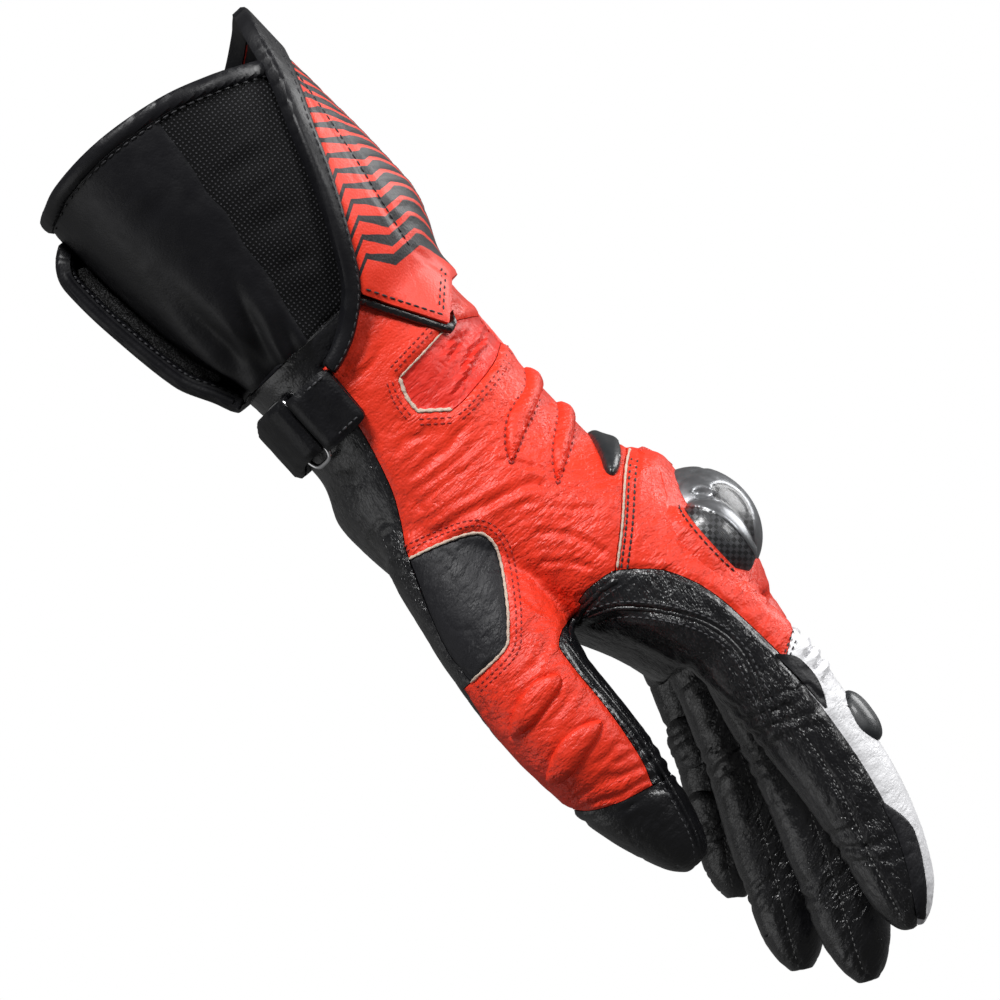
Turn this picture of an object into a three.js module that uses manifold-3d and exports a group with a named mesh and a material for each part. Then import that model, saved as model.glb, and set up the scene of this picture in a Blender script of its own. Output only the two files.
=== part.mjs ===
// Long motorcycle gauntlet for the left hand, filled out as it is when worn.
// Millimetres. The origin is the middle of the wrist, inside the glove.
// X runs to the fingertips, Z out of the back of the hand, and the thumb lies at negative Y.

import * as THREE from 'three';
import { mergeVertices } from 'three/addons/utils/BufferGeometryUtils.js';
import Module from 'manifold-3d';

const wasm = await Module();
wasm.setup();

// Driving sizes

const leather = 1.8; // wall of hand, fingers and inner cuff
const seam = 0.3; // clearance between neighbouring panels
const backThickness = 2.6; // padded back of the cuff
const flapThickness = 2.4;
const bindingRise = 0.6; // how far a bound edge stands out on each side of its panel
const bindingWidth = 4.6;
const handLength = 100; // middle of the wrist to the finger webs
const handWidth = 98;
const handDepth = 80; // ball of the thumb to the knuckles
const wristWidth = 75;
const wristDepth = 63.5;
const wristRise = -0.6; // middle of the wrist's section above the origin
const cuffSetback = 22; // where the cuff starts, behind the middle of the wrist
const cuffLength = 90;
const cuffWidth = 106;
const cuffDepth = 80;
const cuffRise = -2;
const flapDrop = 5.5; // how far the closure flap hangs below the cuff
const thumbLength = 131;
const thumbWidth = 31;
const thumbDepth = 33;
const ridgeHeight = 3.4;
const thumbRidgeHeight = 2.4;
const guardHeight = 12;
const trimThickness = 1.1;
const trimWidth = 3;
const hookThickness = 1.4;
const fingerLength = 106; // the middle finger's, and the size that the others follow
const fingerWidth = 24;
const fingerDepth = 27.5;
const strapThickness = 4.4;
const strapWidth = 18;
const strapGap = 1.2; // from the ring's middle to the end of the tab or strap
const ringWire = 1.5;
const ringOpening = 10;
const sliderHeight = 3.6;
const sliderPlace = 0.48; // share of the finger's length
const ribHeight = 1.6;
const ribWidth = 3;
const ribPitch = 4;
const ribCount = 3;

// Tables of shares

function rows(names, values) {
  return values.map((row) => Object.fromEntries(names.map((name, i) => [name, row[i]])));
}

// The cuff from its mouth to the wrist. along is a share of its length; wide, high and low are
// shares of the way from the wrist's section to the mouth's; folds are gathers at the strap, and
// flap is how far the closure flap hangs clear.
const cuffSections = rows(['along', 'wide', 'high', 'low', 'folds', 'flap'], [
  [1.04, 1.00, 0.65, 1.00, 0.00, 0.70],
  [0.70, 0.89, 0.75, 0.90, 0.00, 1.00],
  [0.45, 0.68, 0.85, 0.76, 0.15, 0.95],
  [0.26, 0.44, 0.90, 0.54, 0.70, 0.80],
  [0.12, 0.18, 0.50, 0.16, 1.00, 0.40],
]);

// The hand from the wrist to the finger webs: along is a share of its length, top and bottom
// of its depth, near and far of its width.
const handSections = rows(['along', 'top', 'bottom', 'near', 'far'], [
  [0.16, 0.385, -0.465, 0.39, 0.40],
  [0.40, 0.395, -0.430, 0.43, 0.45],
  [0.52, 0.480, -0.330, 0.44, 0.475],
  [0.60, 0.540, -0.275, 0.45, 0.485],
  [0.78, 0.530, -0.150, 0.475, 0.495],
  [0.97, 0.545, -0.035, 0.50, 0.490],
  [1.06, 0.510, 0.000, 0.49, 0.465],
]);
const farDroop = 0.11; // the little-finger side hangs lower, as a share of the hand's depth

// The thumb: along is a share of its length from its root, near the wrist; out is a share of
// the hand's width, up of its depth; wide and deep are shares of the thumb's own section.
const thumbRoot = 0.19;
const thumbSections = rows(['along', 'out', 'up', 'wide', 'deep'], [
  [0.00, -0.20, -0.180, 0.80, 0.75],
  [0.15, -0.25, -0.238, 1.02, 1.06],
  [0.30, -0.32, -0.282, 1.10, 1.09],
  [0.42, -0.38, -0.310, 1.08, 1.06],
  [0.53, -0.42, -0.335, 1.00, 1.01],
  [0.64, -0.43, -0.337, 0.98, 0.96],
  [0.75, -0.41, -0.336, 0.95, 0.88],
  [0.84, -0.39, -0.330, 0.87, 0.75],
  [0.91, -0.37, -0.323, 0.75, 0.58],
  [0.96, -0.36, -0.318, 0.58, 0.42],
  [0.99, -0.355, -0.315, 0.34, 0.22],
]);

// Each finger: length and drop are shares of the finger length, width and depth of the finger
// section, fan and side of the hand's width, start and web of its length and height of its depth.
// drop is how far the tip sinks below the root, curve how late it bends, fan its sideways turn.
const fingerTable = [
  ['name', 'length', 'width', 'depth', 'drop', 'curve', 'fan', 'start', 'web', 'side', 'height'],
  ['index', 0.962, 1.00, 1.00, 0.160, 3.30, 0.00, 1.00, 1.18, -0.374, 0.29],
  ['middle', 1.000, 1.00, 0.982, 0.358, 1.50, 0.00, 1.00, 1.17, -0.125, 0.32],
  ['ring', 0.892, 1.00, 0.964, 0.415, 1.30, 0.01, 0.98, 1.14, 0.125, 0.245],
  ['little', 0.684, 0.958, 0.855, 0.354, 1.45, 0.04, 0.94, 1.08, 0.369, 0.16],
];
const fingers = rows(fingerTable[0], fingerTable.slice(1)).map((finger) => ({
  ...finger,
  length: finger.length * fingerLength,
  drop: finger.drop * fingerLength,
  width: finger.width * fingerWidth,
  depth: finger.depth * fingerDepth,
  fan: finger.fan * handWidth,
}));

// A finger's thickness along its length
const fingerSections = rows(['along', 'wide', 'deep'], [
  [0.00, 0.92, 1.02],
  [0.18, 0.98, 1.07],
  [0.42, 1.00, 1.00],
  [0.60, 0.98, 0.95],
  [0.76, 0.95, 0.87],
  [0.89, 0.85, 0.70],
  [0.96, 0.64, 0.46],
  [0.995, 0.36, 0.22],
]);

// Seams and edges seen from the thumb side: along is a share of the hand's length, up of its depth
const patchEdge = rows(['along', 'up'], [
  [0.335, -0.36], [0.36, -0.25], [0.40, -0.13], [0.44, -0.10], [0.50, -0.12], [0.60, -0.20],
  [0.66, -0.26], [0.695, -0.32], [0.70, -0.475], [0.60, -0.465], [0.50, -0.435], [0.40, -0.39],
]);
const windowEdge = rows(['along', 'up'], [
  [-0.07, 0.30], [-0.06, 0.19], [-0.05, 0.04], [0.00, 0.01], [0.05, 0.005], [0.11, 0.10],
  [0.11, 0.15], [0.09, 0.31], [0.04, 0.36],
]);
const upperBackEdge = rows(['along', 'up'], [
  [-0.31, -0.05], [0.745, -0.05], [0.725, 0.05], [0.73, 0.14], [0.78, 0.21], [0.84, 0.28],
  [0.95, 0.34], [1.10, 0.365], [1.30, 0.38], [1.30, 0.80], [-0.31, 0.80],
]);
const lowerBackEdge = rows(['along', 'up'], [
  [-0.22, -0.03], [-0.22, -0.14], [-0.10, -0.17], [0.00, -0.19], [0.15, -0.24], [0.335, -0.36],
  [0.50, -0.435], [0.60, -0.465], [0.70, -0.48], [0.70, -0.70], [0.76, -0.70], [0.76, -0.03],
]);
const thumbBackEdge = rows(['along', 'up'], [
  [0.70, -0.70], [1.14, -0.70], [1.16, -0.51], [1.21, -0.46], [1.24, -0.38], [1.265, -0.245],
  [1.20, -0.225], [1.00, -0.19], [0.82, -0.175], [0.76, -0.135], [0.70, -0.10],
]);
const farBackEdge = rows(['along', 'up'], [
  [-0.31, -0.08], [0.00, -0.12], [0.40, -0.15], [0.80, 0.00], [0.95, 0.16], [1.30, 0.16],
  [1.30, 0.80], [-0.31, 0.80],
]);
const knuckleEdge = rows(['along', 'up'], [
  [0.50, 0.50], [0.53, 0.37], [0.60, 0.275], [0.735, 0.13], [0.78, 0.12], [1.30, 0.12],
  [1.30, 0.80], [0.50, 0.80],
]);
const thumbTipEdge = rows(['along', 'up'], [
  [1.14, -0.70], [1.16, -0.51], [1.21, -0.46], [1.24, -0.38], [1.275, -0.17], [1.60, -0.10],
  [1.60, -0.70],
]);
const firstRidge = rows(['along', 'up'], [
  [0.09, 0.80], [0.10, 0.42], [0.155, 0.36], [0.20, 0.26], [0.31, 0.13], [0.32, 0.15],
  [0.255, 0.28], [0.21, 0.39], [0.20, 0.80],
]);
const secondRidge = rows(['along', 'up'], [
  [0.23, 0.80], [0.24, 0.41], [0.31, 0.34], [0.35, 0.27], [0.44, 0.20], [0.45, 0.22],
  [0.38, 0.33], [0.35, 0.41], [0.345, 0.80],
]);
const plateEdge = rows(['along', 'up'], [
  [0.37, 0.80], [0.37, 0.37], [0.42, 0.335], [0.47, 0.345], [0.49, 0.38], [0.49, 0.80],
]);
const thumbRidges = [
  rows(['along', 'up'], [
    [0.83, -0.25], [0.82, -0.34], [0.84, -0.43], [0.87, -0.49], [0.89, -0.45], [0.88, -0.33],
    [0.86, -0.25],
  ]),
  rows(['along', 'up'], [
    [1.00, -0.25], [0.985, -0.34], [0.99, -0.42], [1.035, -0.50], [1.06, -0.46], [1.05, -0.36],
    [1.02, -0.27],
  ]),
];
const tabTop = -0.135; // upper end of the strap's tab
const ringPlace = 0.4; // the ring's drop below the wrist's middle, as a share of the wrist's depth

// Edges of the cuff: along is a share of its length from the wrist, up of its depth
const mouthEdge = rows(['along', 'up'], [
  [0.81, 0.60], [0.82, 0.43], [0.88, 0.25], [0.93, 0.06], [0.957, -0.19], [0.947, -0.40],
  [0.915, -0.53], [0.89, -0.80],
]);
const backEdgeNear = rows(['along', 'up'], [
  [1.00, 0.50], [0.76, 0.425], [0.59, 0.35], [0.42, 0.275], [0.26, 0.19], [0.12, 0.10],
]);
const backEdgeTail = rows(['along', 'up'], [[0.15, 0.12], [0.12, 0.10], [0.04, 0.00], [0.01, -0.11]]);
const backEdgeFar = rows(['along', 'up'], [
  [1.00, 0.50], [0.965, 0.44], [0.90, 0.32], [0.86, 0.20], [0.845, 0.04], [0.84, -0.10],
  [0.06, -0.10],
]);
const backWristEdge = rows(['along', 'up'], [[0.09, 0.125], [-0.165, 0.295], [-0.065, 0.41], [-0.065, 0.80]]);
const gussetEdge = rows(['along', 'up'], [
  [1.10, 0.03], [0.87, 0.01], [0.53, -0.025], [0.31, -0.06], [0.03, -0.12],
]);

// Places of the pieces that are not seen from the side, as shares of the hand's width
const lowerSplit = -0.31; // how far round the ball of the thumb the back panel reaches
const plateReach = 0.29;
const flapReach = -0.20;
const hookReach = 0.10;
const littlePads = [0.42, 0.68]; // shares of the little finger's length

// Finish of each piece

const finish = {
  red: new THREE.MeshStandardMaterial({ color: 0xf0442c, roughness: 0.55, metalness: 0 }),
  black: new THREE.MeshStandardMaterial({ color: 0x222226, roughness: 0.42, metalness: 0 }),
  cuff: new THREE.MeshStandardMaterial({ color: 0x26262a, roughness: 0.6, metalness: 0 }),
  mesh: new THREE.MeshStandardMaterial({ color: 0x1c1c20, roughness: 0.9, metalness: 0 }),
  hook: new THREE.MeshStandardMaterial({ color: 0x141416, roughness: 1, metalness: 0 }),
  white: new THREE.MeshStandardMaterial({ color: 0xf0f0f2, roughness: 0.5, metalness: 0 }),
  rubber: new THREE.MeshStandardMaterial({ color: 0x2a2c2f, roughness: 0.5, metalness: 0 }),
  shell: new THREE.MeshStandardMaterial({ color: 0x3a3c42, roughness: 0.2, metalness: 0.3 }),
  steel: new THREE.MeshStandardMaterial({ color: 0xc8cacc, roughness: 0.25, metalness: 1 }),
};

// Solids from geometry and back

function solid(geometry) {
  const plain = geometry.clone();
  plain.deleteAttribute('normal');
  plain.deleteAttribute('uv');
  const welded = mergeVertices(plain, 1e-4);
  return new wasm.Manifold(new wasm.Mesh({
    numProp: 3,
    vertProperties: Float32Array.from(welded.attributes.position.array),
    triVerts: Uint32Array.from(welded.index.array),
  }));
}

function geometryOf(body) {
  const { vertProperties, triVerts } = body.getMesh();
  const geometry = new THREE.BufferGeometry();
  geometry.setAttribute('position', new THREE.BufferAttribute(new Float32Array(vertProperties), 3));
  geometry.setIndex(new THREE.BufferAttribute(new Uint32Array(triVerts), 1));
  geometry.computeVertexNormals();
  return geometry;
}

// A cut can leave crumbs at a crossing of seams; a panel is its largest body
function wholePanel(body) {
  return body.decompose().reduce((best, one) => (one.volume() > best.volume() ? one : best));
}

function joined(bodies) {
  return bodies.reduce((all, one) => all.add(one));
}

// Joins rings of equal length into a tube and closes both ends
function loft(rings) {
  const sides = rings[0].length;
  const points = rings.flat();
  const middle = (ring) => ring.reduce((sum, p) => sum.add(p), new THREE.Vector3()).divideScalar(sides);
  const first = points.length;
  const last = first + 1;
  points.push(middle(rings[0]), middle(rings[rings.length - 1]));
  const faces = [];
  const lastRing = (rings.length - 1) * sides;
  for (let s = 0; s < sides; s += 1) {
    const next = (s + 1) % sides;
    for (let r = 0; r < lastRing; r += sides) {
      faces.push(r + s, r + next, r + sides + next, r + s, r + sides + next, r + sides + s);
    }
    faces.push(first, next, s, last, lastRing + s, lastRing + next);
  }
  const geometry = new THREE.BufferGeometry().setFromPoints(points);
  geometry.setIndex(faces);
  return solid(geometry);
}

// A slab with the given side outline, from one Y to another
function slab(outline, from, to) {
  const shape = new THREE.Shape(outline);
  const geometry = new THREE.ExtrudeGeometry(shape, { depth: to - from, bevelEnabled: false });
  return solid(geometry.rotateX(Math.PI / 2).translate(0, to, 0));
}

// Moves each side of a closed outline outwards
function grown(outline, by) {
  const turn = THREE.ShapeUtils.isClockWise(outline) ? 1 : -1;
  return outline.map((point, i) => {
    const before = outline[(i + outline.length - 1) % outline.length];
    const after = outline[(i + 1) % outline.length];
    const out = [[before, point], [point, after]].map(([a, b]) => {
      const way = b.clone().sub(a).normalize();
      return new THREE.Vector2(-way.y * turn, way.x * turn);
    });
    const miter = out[0].add(out[1]).normalize();
    const spread = Math.max(0.5, miter.dot(out[1]));
    return point.clone().addScaledVector(miter, by / spread);
  });
}

const onHand = (edge) => edge.map(({ along, up }) => new THREE.Vector2(along * handLength, up * handDepth));
const cuffX = (along) => -cuffSetback - along * cuffLength;
const onCuff = (edge) => edge.map(({ along, up }) => new THREE.Vector2(cuffX(along), up * cuffDepth));

// Half of a rounded section: square is 2 for an ellipse and more for a boxier one
function rounded(value, square) {
  return Math.sign(value) * Math.abs(value) ** (2 / square);
}

// Hand and cuff

const handSides = 26;
const handInnerSides = 18;
const bodySquare = 2.5;
const foldDepth = 1.5;
const wristTop = wristRise + wristDepth / 2;
const wristBottom = wristRise - wristDepth / 2;
const cuffTop = cuffRise + cuffDepth / 2;
const cuffBottom = cuffRise - cuffDepth / 2;
const outerReach = cuffWidth; // beyond every piece

function bodySections(hang) {
  const between = THREE.MathUtils.lerp;
  const cuff = cuffSections.map(({ along, wide, high, low, folds, flap }) => ({
    x: cuffX(along),
    top: between(wristTop, cuffTop, high),
    bottom: between(wristBottom, cuffBottom, low) - flap * hang,
    near: between(wristWidth, cuffWidth, wide) / 2,
    far: between(wristWidth, cuffWidth, wide) / 2,
    folds: folds * foldDepth,
    droop: 0,
  }));
  const wrist = [-cuffSetback, 0].map((x) => ({
    x, top: wristTop, bottom: wristBottom, near: wristWidth / 2, far: wristWidth / 2, folds: 0, droop: 0,
  }));
  const hand = handSections.map(({ along, top, bottom, near, far }) => ({
    x: along * handLength,
    top: top * handDepth,
    bottom: bottom * handDepth,
    near: near * handWidth,
    far: far * handWidth,
    folds: 0,
    droop: along * farDroop * handDepth,
  }));
  return [...cuff, ...wrist, ...hand];
}

// A ring of the hand or cuff, grown by a distance
function bodyRing(section, by, withFolds, sides) {
  const ring = [];
  const middle = (section.top + section.bottom) / 2;
  const half = (section.top - section.bottom) / 2 + by;
  for (let i = 0; i < sides; i += 1) {
    const angle = (i / sides) * 2 * Math.PI;
    const fold = withFolds && i % 2 === 1 && Math.sin(angle) < 0.2 ? section.folds : 0;
    const width = (Math.cos(angle) < 0 ? section.near : section.far) + by - fold;
    const across = rounded(Math.cos(angle), bodySquare);
    const sag = across > 0 ? section.droop * across * across : 0;
    const z = middle + (half - fold) * rounded(Math.sin(angle), bodySquare) - sag;
    ring.push(new THREE.Vector3(section.x, width * across, z));
  }
  return ring;
}

function body(by, { withFolds = false, shorter = 0, hang = 0, sides = handSides } = {}) {
  const sections = bodySections(hang);
  const rings = sections.map((section) => bodyRing(section, by, withFolds, sides));
  rings[rings.length - 1].forEach((point) => point.setX(point.x - shorter));
  return loft(rings);
}

// Tubes for the thumb and the fingers

const tubeSides = 10;
const innerSides = 6;
const tubeSquare = 2.3;

function tubeRing({ x, y, z, wide, deep, slope }, by) {
  const normal = new THREE.Vector3(-Math.sin(slope), 0, Math.cos(slope));
  const sides = by < 0 ? innerSides : tubeSides;
  const ring = [];
  for (let i = 0; i < sides; i += 1) {
    const angle = (i / sides) * 2 * Math.PI;
    const across = (wide / 2 + by) * rounded(Math.cos(angle), tubeSquare);
    const up = (deep / 2 + by) * rounded(Math.sin(angle), tubeSquare);
    ring.push(new THREE.Vector3(x, y + across, z).addScaledVector(normal, up));
  }
  return ring;
}

// A tube grown by a distance; an inner one leaves out the rings that its wall fills
function tube(sections, by) {
  const fitting = sections.filter(({ deep }) => deep / 2 + by > 1.5);
  return loft(fitting.map((section) => tubeRing(section, by)));
}

function withSlopes(points) {
  return points.map((point, i) => {
    const a = points[Math.max(0, i - 1)];
    const b = points[Math.min(points.length - 1, i + 1)];
    return { ...point, slope: Math.atan2(b.z - a.z, b.x - a.x) };
  });
}

const thumbPath = withSlopes(thumbSections.map(({ along, out, up, wide, deep }) => ({
  x: thumbRoot * handLength + along * thumbLength,
  y: out * handWidth,
  z: up * handDepth,
  wide: wide * thumbWidth,
  deep: deep * thumbDepth,
})));

function fingerPath(finger) {
  return withSlopes(fingerSections.map(({ along, wide, deep }) => ({
    along,
    x: finger.start * handLength + along * finger.length,
    y: finger.side * handWidth + along * finger.fan,
    z: finger.height * handDepth - finger.drop * along ** finger.curve,
    wide: wide * finger.width,
    deep: deep * finger.depth,
  })));
}

// The place on a finger's middle line at a share of its length
function onFinger(path, along) {
  const i = Math.max(1, path.findIndex((section) => section.along >= along));
  const [a, b] = [path[i - 1], path[i]];
  const t = (along - a.along) / (b.along - a.along);
  const mixed = (key) => a[key] + (b[key] - a[key]) * t;
  return Object.fromEntries(['x', 'y', 'z', 'wide', 'deep', 'slope'].map((key) => [key, mixed(key)]));
}

// Everything on the back of a finger, above its side seams
const fingerSeam = 0.2; // height of the side seam above the middle line, as a share of the depth
function fingerBackRegion(path, by) {
  const reach = path[1].deep;
  const end = path[path.length - 1];
  const beyond = { ...end, x: end.x + reach * Math.cos(end.slope), z: end.z + reach * Math.sin(end.slope) };
  return loft([...path, beyond].map(({ x, y, z, deep, slope }) => {
    const normal = new THREE.Vector3(-Math.sin(slope), 0, Math.cos(slope));
    const low = fingerSeam * deep - by;
    return [[reach, low], [reach, reach], [-reach, reach], [-reach, low]].map(([across, up]) => (
      new THREE.Vector3(x, y + across, z).addScaledVector(normal, up)
    ));
  }));
}

const group = new THREE.Group();

function add(name, shape, material) {
  const mesh = new THREE.Mesh(geometryOf(shape), material.clone());
  mesh.name = name;
  group.add(mesh);
}

// Glove skin: hand, thumb and the first stretch of each finger as one hollow form

function halfSpace(from, to) {
  const box = new THREE.BoxGeometry(to - from, 4 * outerReach, 4 * outerReach);
  return solid(box.translate((from + to) / 2, 0, 0));
}

function gloveForm(by, shorter) {
  const stubs = fingers.map((finger) => {
    const path = fingerPath(finger);
    const web = finger.web * handLength;
    return tube(path, by).intersect(halfSpace(0, web + (by < 0 ? handLength : 0)));
  });
  const sides = by < 0 ? handInnerSides : handSides;
  return joined([body(by, { shorter, sides }), tube(thumbPath, by), ...stubs]);
}

const wristCut = cuffX(0.09);
const handSkin = gloveForm(0, 0)
  .subtract(gloveForm(-leather, leather))
  .intersect(halfSpace(wristCut, 3 * handLength));
const cuffSkin = body(0, { withFolds: true })
  .subtract(body(-leather, { withFolds: true }))
  .intersect(halfSpace(cuffX(1.2), wristCut - seam));

// A region is a list of slabs: side outline and the range of Y that it covers
function region(parts, by) {
  return joined(parts.map(([outline, from, to]) => {
    const edge = by ? grown(outline, by) : outline;
    return slab(edge, from - by, to + by);
  }));
}

let rest = handSkin;
function takePanel(parts) {
  const panel = wholePanel(rest.intersect(region(parts, 0)));
  rest = rest.subtract(region(parts, seam));
  return panel;
}

const near = -outerReach;
const far = outerReach;
const sidePatch = takePanel([[onHand(patchEdge), near, lowerSplit * handWidth]]);
const wristWindow = takePanel([[onHand(windowEdge), near, 0]]);
const thumbTip = takePanel([[onHand(thumbTipEdge), near, 0]]);
const backParts = [
  [onHand(upperBackEdge), near, 0],
  [onHand(lowerBackEdge), near, lowerSplit * handWidth],
  [onHand(thumbBackEdge), near, thumbSections[5].out * handWidth],
  [onHand(farBackEdge), -1, far],
];
const redSkin = wholePanel(rest.intersect(region(backParts, 0)));
const palm = wholePanel(rest.subtract(region(backParts, seam)));
const knuckleRegion = [[onHand(knuckleEdge), near, far]];
const knucklePanel = wholePanel(redSkin.intersect(region(knuckleRegion, 0)));
const handBack = wholePanel(redSkin.subtract(region(knuckleRegion, seam)));

add('hand_back', handBack, finish.red);
add('knuckle_panel', knucklePanel, finish.red);
add('palm', palm, finish.black);
add('side_patch', sidePatch, finish.cuff);
add('wrist_window', wristWindow, finish.red);
add('thumb_tip', thumbTip, finish.black);

// Padding and guards on the hand

function layer(from, to, parts) {
  return wholePanel(body(to).subtract(body(from)).intersect(region(parts, 0)));
}

[firstRidge, secondRidge].forEach((edge, i) => {
  add(`back_ridge_${i + 1}`, layer(seam, ridgeHeight, [[onHand(edge), near, far]]), finish.red);
});
add('back_plate', layer(seam, ridgeHeight, [
  [onHand(plateEdge), -plateReach * handWidth, plateReach * handWidth],
]), finish.rubber);

thumbRidges.forEach((edge, i) => {
  const pad = tube(thumbPath, thumbRidgeHeight).subtract(tube(thumbPath, seam));
  const lens = slab(onHand(edge), near, thumbPath[5].y);
  add(`thumb_ridge_${i + 1}`, wholePanel(pad.intersect(lens)), finish.red);
});

// The guard is a low dome over each pair of knuckles; lengths are shares of the hand's sizes
const guardDomes = rows(['along', 'side', 'long', 'wide', 'high'], [
  [0.815, -0.10, 0.36, 0.44, 0.96],
  [0.825, 0.17, 0.34, 0.34, 0.82],
  [0.865, -0.33, 0.26, 0.21, 0.60],
]);
const knuckleTop = handSections[4].top * handDepth;
function dome({ along, side, long, wide, high }) {
  const ball = new THREE.SphereGeometry(1, 12, 7).rotateX(Math.PI / 2);
  const base = knuckleTop - guardHeight * 0.4;
  ball.scale((long * handLength) / 2, (wide * handWidth) / 2, high * guardHeight * 1.35);
  return solid(ball.translate(along * handLength, side * handWidth, base));
}
add('knuckle_guard', wholePanel(joined(guardDomes.map(dome)).subtract(body(seam))), finish.shell);

// Fingers

fingers.forEach((finger) => {
  const path = fingerPath(finger);
  const outer = tube(path, 0);
  const inner = tube(path, -leather);
  const web = finger.web * handLength + seam;
  const beyondWeb = halfSpace(web, web + 2 * finger.length);
  const shell = outer.subtract(inner).intersect(beyondWeb);
  const palmHalf = wholePanel(shell.subtract(fingerBackRegion(path, seam)));
  const ribs = Array.from({ length: ribCount }, (_, i) => {
    const from = web + ribWidth / 3 + i * ribPitch;
    const within = new THREE.BoxGeometry(ribWidth, finger.width, 4 * handDepth);
    const hoop = solid(within.translate(from + ribWidth / 2, path[0].y, 0));
    return tube(path, ribHeight).subtract(inner).intersect(hoop);
  });
  const backHalf = wholePanel(joined([shell, ...ribs]).intersect(fingerBackRegion(path, 0)));
  add(`${finger.name}_palm`, palmHalf, finish.black);
  add(`${finger.name}_back`, backHalf, finish.white);

  const seat = onFinger(path, sliderPlace);
  const slider = new THREE.SphereGeometry(1, 8, 5);
  slider.scale(finger.length * 0.08, finger.width * 0.33, sliderHeight * 2);
  slider.rotateY(-seat.slope);
  const lift = seat.deep / 2 - sliderHeight;
  slider.translate(seat.x - Math.sin(seat.slope) * lift, seat.y, seat.z + Math.cos(seat.slope) * lift);
  add(`${finger.name}_slider`, wholePanel(solid(slider).subtract(tube(path, seam))), finish.rubber);
});

// Cuff: inner wall with gussets, cut along the mouth

const mouth = onCuff(mouthEdge);
const mouthBack = [mouth[mouth.length - 1], mouth[0]].map(({ y }) => new THREE.Vector2(cuffX(2), y));
const beyondMouth = [...mouth, ...mouthBack];
const mouthBand = [...mouth.map(({ x, y }) => new THREE.Vector2(x + bindingWidth, y)), ...mouthBack];

// A rectangle seen from the side
function sideBox(fromX, toX, fromZ, toZ) {
  return [[fromX, fromZ], [toX, fromZ], [toX, toZ], [fromX, toZ]].map(([x, z]) => new THREE.Vector2(x, z));
}

const wallTop = cuffTop - cuffDepth * 0.07; // the inner wall ends under the striped back
const openTop = slab(sideBox(cuffX(2), 0, wallTop, outerReach), near, far);
const innerCuff = cuffSkin.subtract(slab(grown(mouthBand, seam), near, far)).subtract(openTop);
const gussetLine = onCuff(gussetEdge);
const gussetBack = [0, cuffX(2)].map((x) => new THREE.Vector2(x, outerReach));
const gussetPlace = [[[...gussetLine, ...gussetBack], near, far]];
add('cuff_palm', wholePanel(innerCuff.subtract(region(gussetPlace, seam))), finish.cuff);
const gussets = innerCuff.intersect(region(gussetPlace, 0));
const nearSide = slab(sideBox(cuffX(2), handLength, -outerReach, outerReach), near, 0);
add('gusset_thumb_side', wholePanel(gussets.intersect(nearSide)), finish.mesh);
add('gusset_little_side', wholePanel(gussets.subtract(nearSide)), finish.mesh);

const cuffWall = body(bindingRise, { withFolds: true })
  .subtract(body(-leather - bindingRise, { withFolds: true }));
const mouthStrip = cuffWall.intersect(slab(mouthBand, near, far)).subtract(slab(beyondMouth, near, far));
add('cuff_mouth_binding', wholePanel(mouthStrip.subtract(openTop)), finish.cuff);

// Striped back of the cuff with its bound edge

const backFrom = bindingRise + seam;
const backTo = backFrom + backThickness;
const backEnd = onCuff(backWristEdge);

// Moves an open line sideways, to the left of its direction when by is positive
function shifted(line, by) {
  return line.map((point, i) => {
    const a = line[Math.max(0, i - 1)];
    const b = line[Math.min(line.length - 1, i + 1)];
    const way = b.clone().sub(a).normalize();
    return point.clone().add(new THREE.Vector2(-way.y, way.x).multiplyScalar(by));
  });
}

// The strip between an open line and the same line moved sideways
function strip(line, from, to) {
  return [...shifted(line, from), ...shifted(line, to).reverse()];
}

function backOutline(line, inset) {
  const edge = shifted(line, inset);
  return [new THREE.Vector2(edge[0].x, outerReach), ...edge, ...backEnd];
}

const backLines = [onCuff(backEdgeNear), onCuff(backEdgeFar)];
const sidesOf = (inset, overlap) => [
  [backOutline(backLines[0], inset), near, 0],
  [backOutline(backLines[1], inset), -overlap, far],
];
const insideBinding = region(sidesOf(bindingWidth + seam, seam), 0);
const backLayer = body(backTo).subtract(body(backFrom));
add('cuff_back', wholePanel(backLayer.intersect(insideBinding)), finish.red);

const bindingLayer = body(backTo + bindingRise).subtract(body(backFrom - seam));
const bindingTail = [[strip(onCuff(backEdgeTail), 0, bindingWidth), near, 0]];
const bindingPlace = region(sidesOf(0, seam), 0)
  .add(region(bindingTail, 0))
  .subtract(region(sidesOf(bindingWidth + seam, seam), seam));
add('cuff_back_binding', wholePanel(bindingLayer.intersect(bindingPlace)), finish.cuff);

const trimPlace = [[strip(backEnd, -seam, -seam - trimWidth), near, far]];
const trim = layer(seam, seam + trimThickness, trimPlace).subtract(region(bindingTail, seam));
add('cuff_trim', wholePanel(trim), finish.cuff);

// Closure flap under the cuff, with its bound edge and the hook strip that holds it shut

const flapEnds = { mouth: cuffX(0.83), wrist: cuffX(0.07) };
const flapTop = backLines[1][backLines[1].length - 1].y - seam;
function flapPlace(mouthEnd, reach) {
  const corner = cuffBottom - flapDrop / 2;
  const outline = [
    new THREE.Vector2(mouthEnd, flapTop), new THREE.Vector2(mouthEnd, corner),
    new THREE.Vector2(mouthEnd + flapDrop, corner - flapDrop),
    new THREE.Vector2(mouthEnd + flapDrop, -outerReach),
    new THREE.Vector2(flapEnds.wrist, -outerReach), new THREE.Vector2(flapEnds.wrist, flapTop),
  ];
  return [[outline, reach, far]];
}
const flapEdge = flapReach * handWidth;
const flapTo = backFrom + flapThickness;
const flapLayer = body(flapTo, { hang: flapDrop }).subtract(body(backFrom, { hang: flapDrop }));
const flapInside = flapPlace(flapEnds.mouth + bindingWidth + seam, flapEdge + bindingWidth + seam);
add('closure_flap', wholePanel(flapLayer.intersect(region(flapInside, 0))), finish.cuff);

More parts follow.
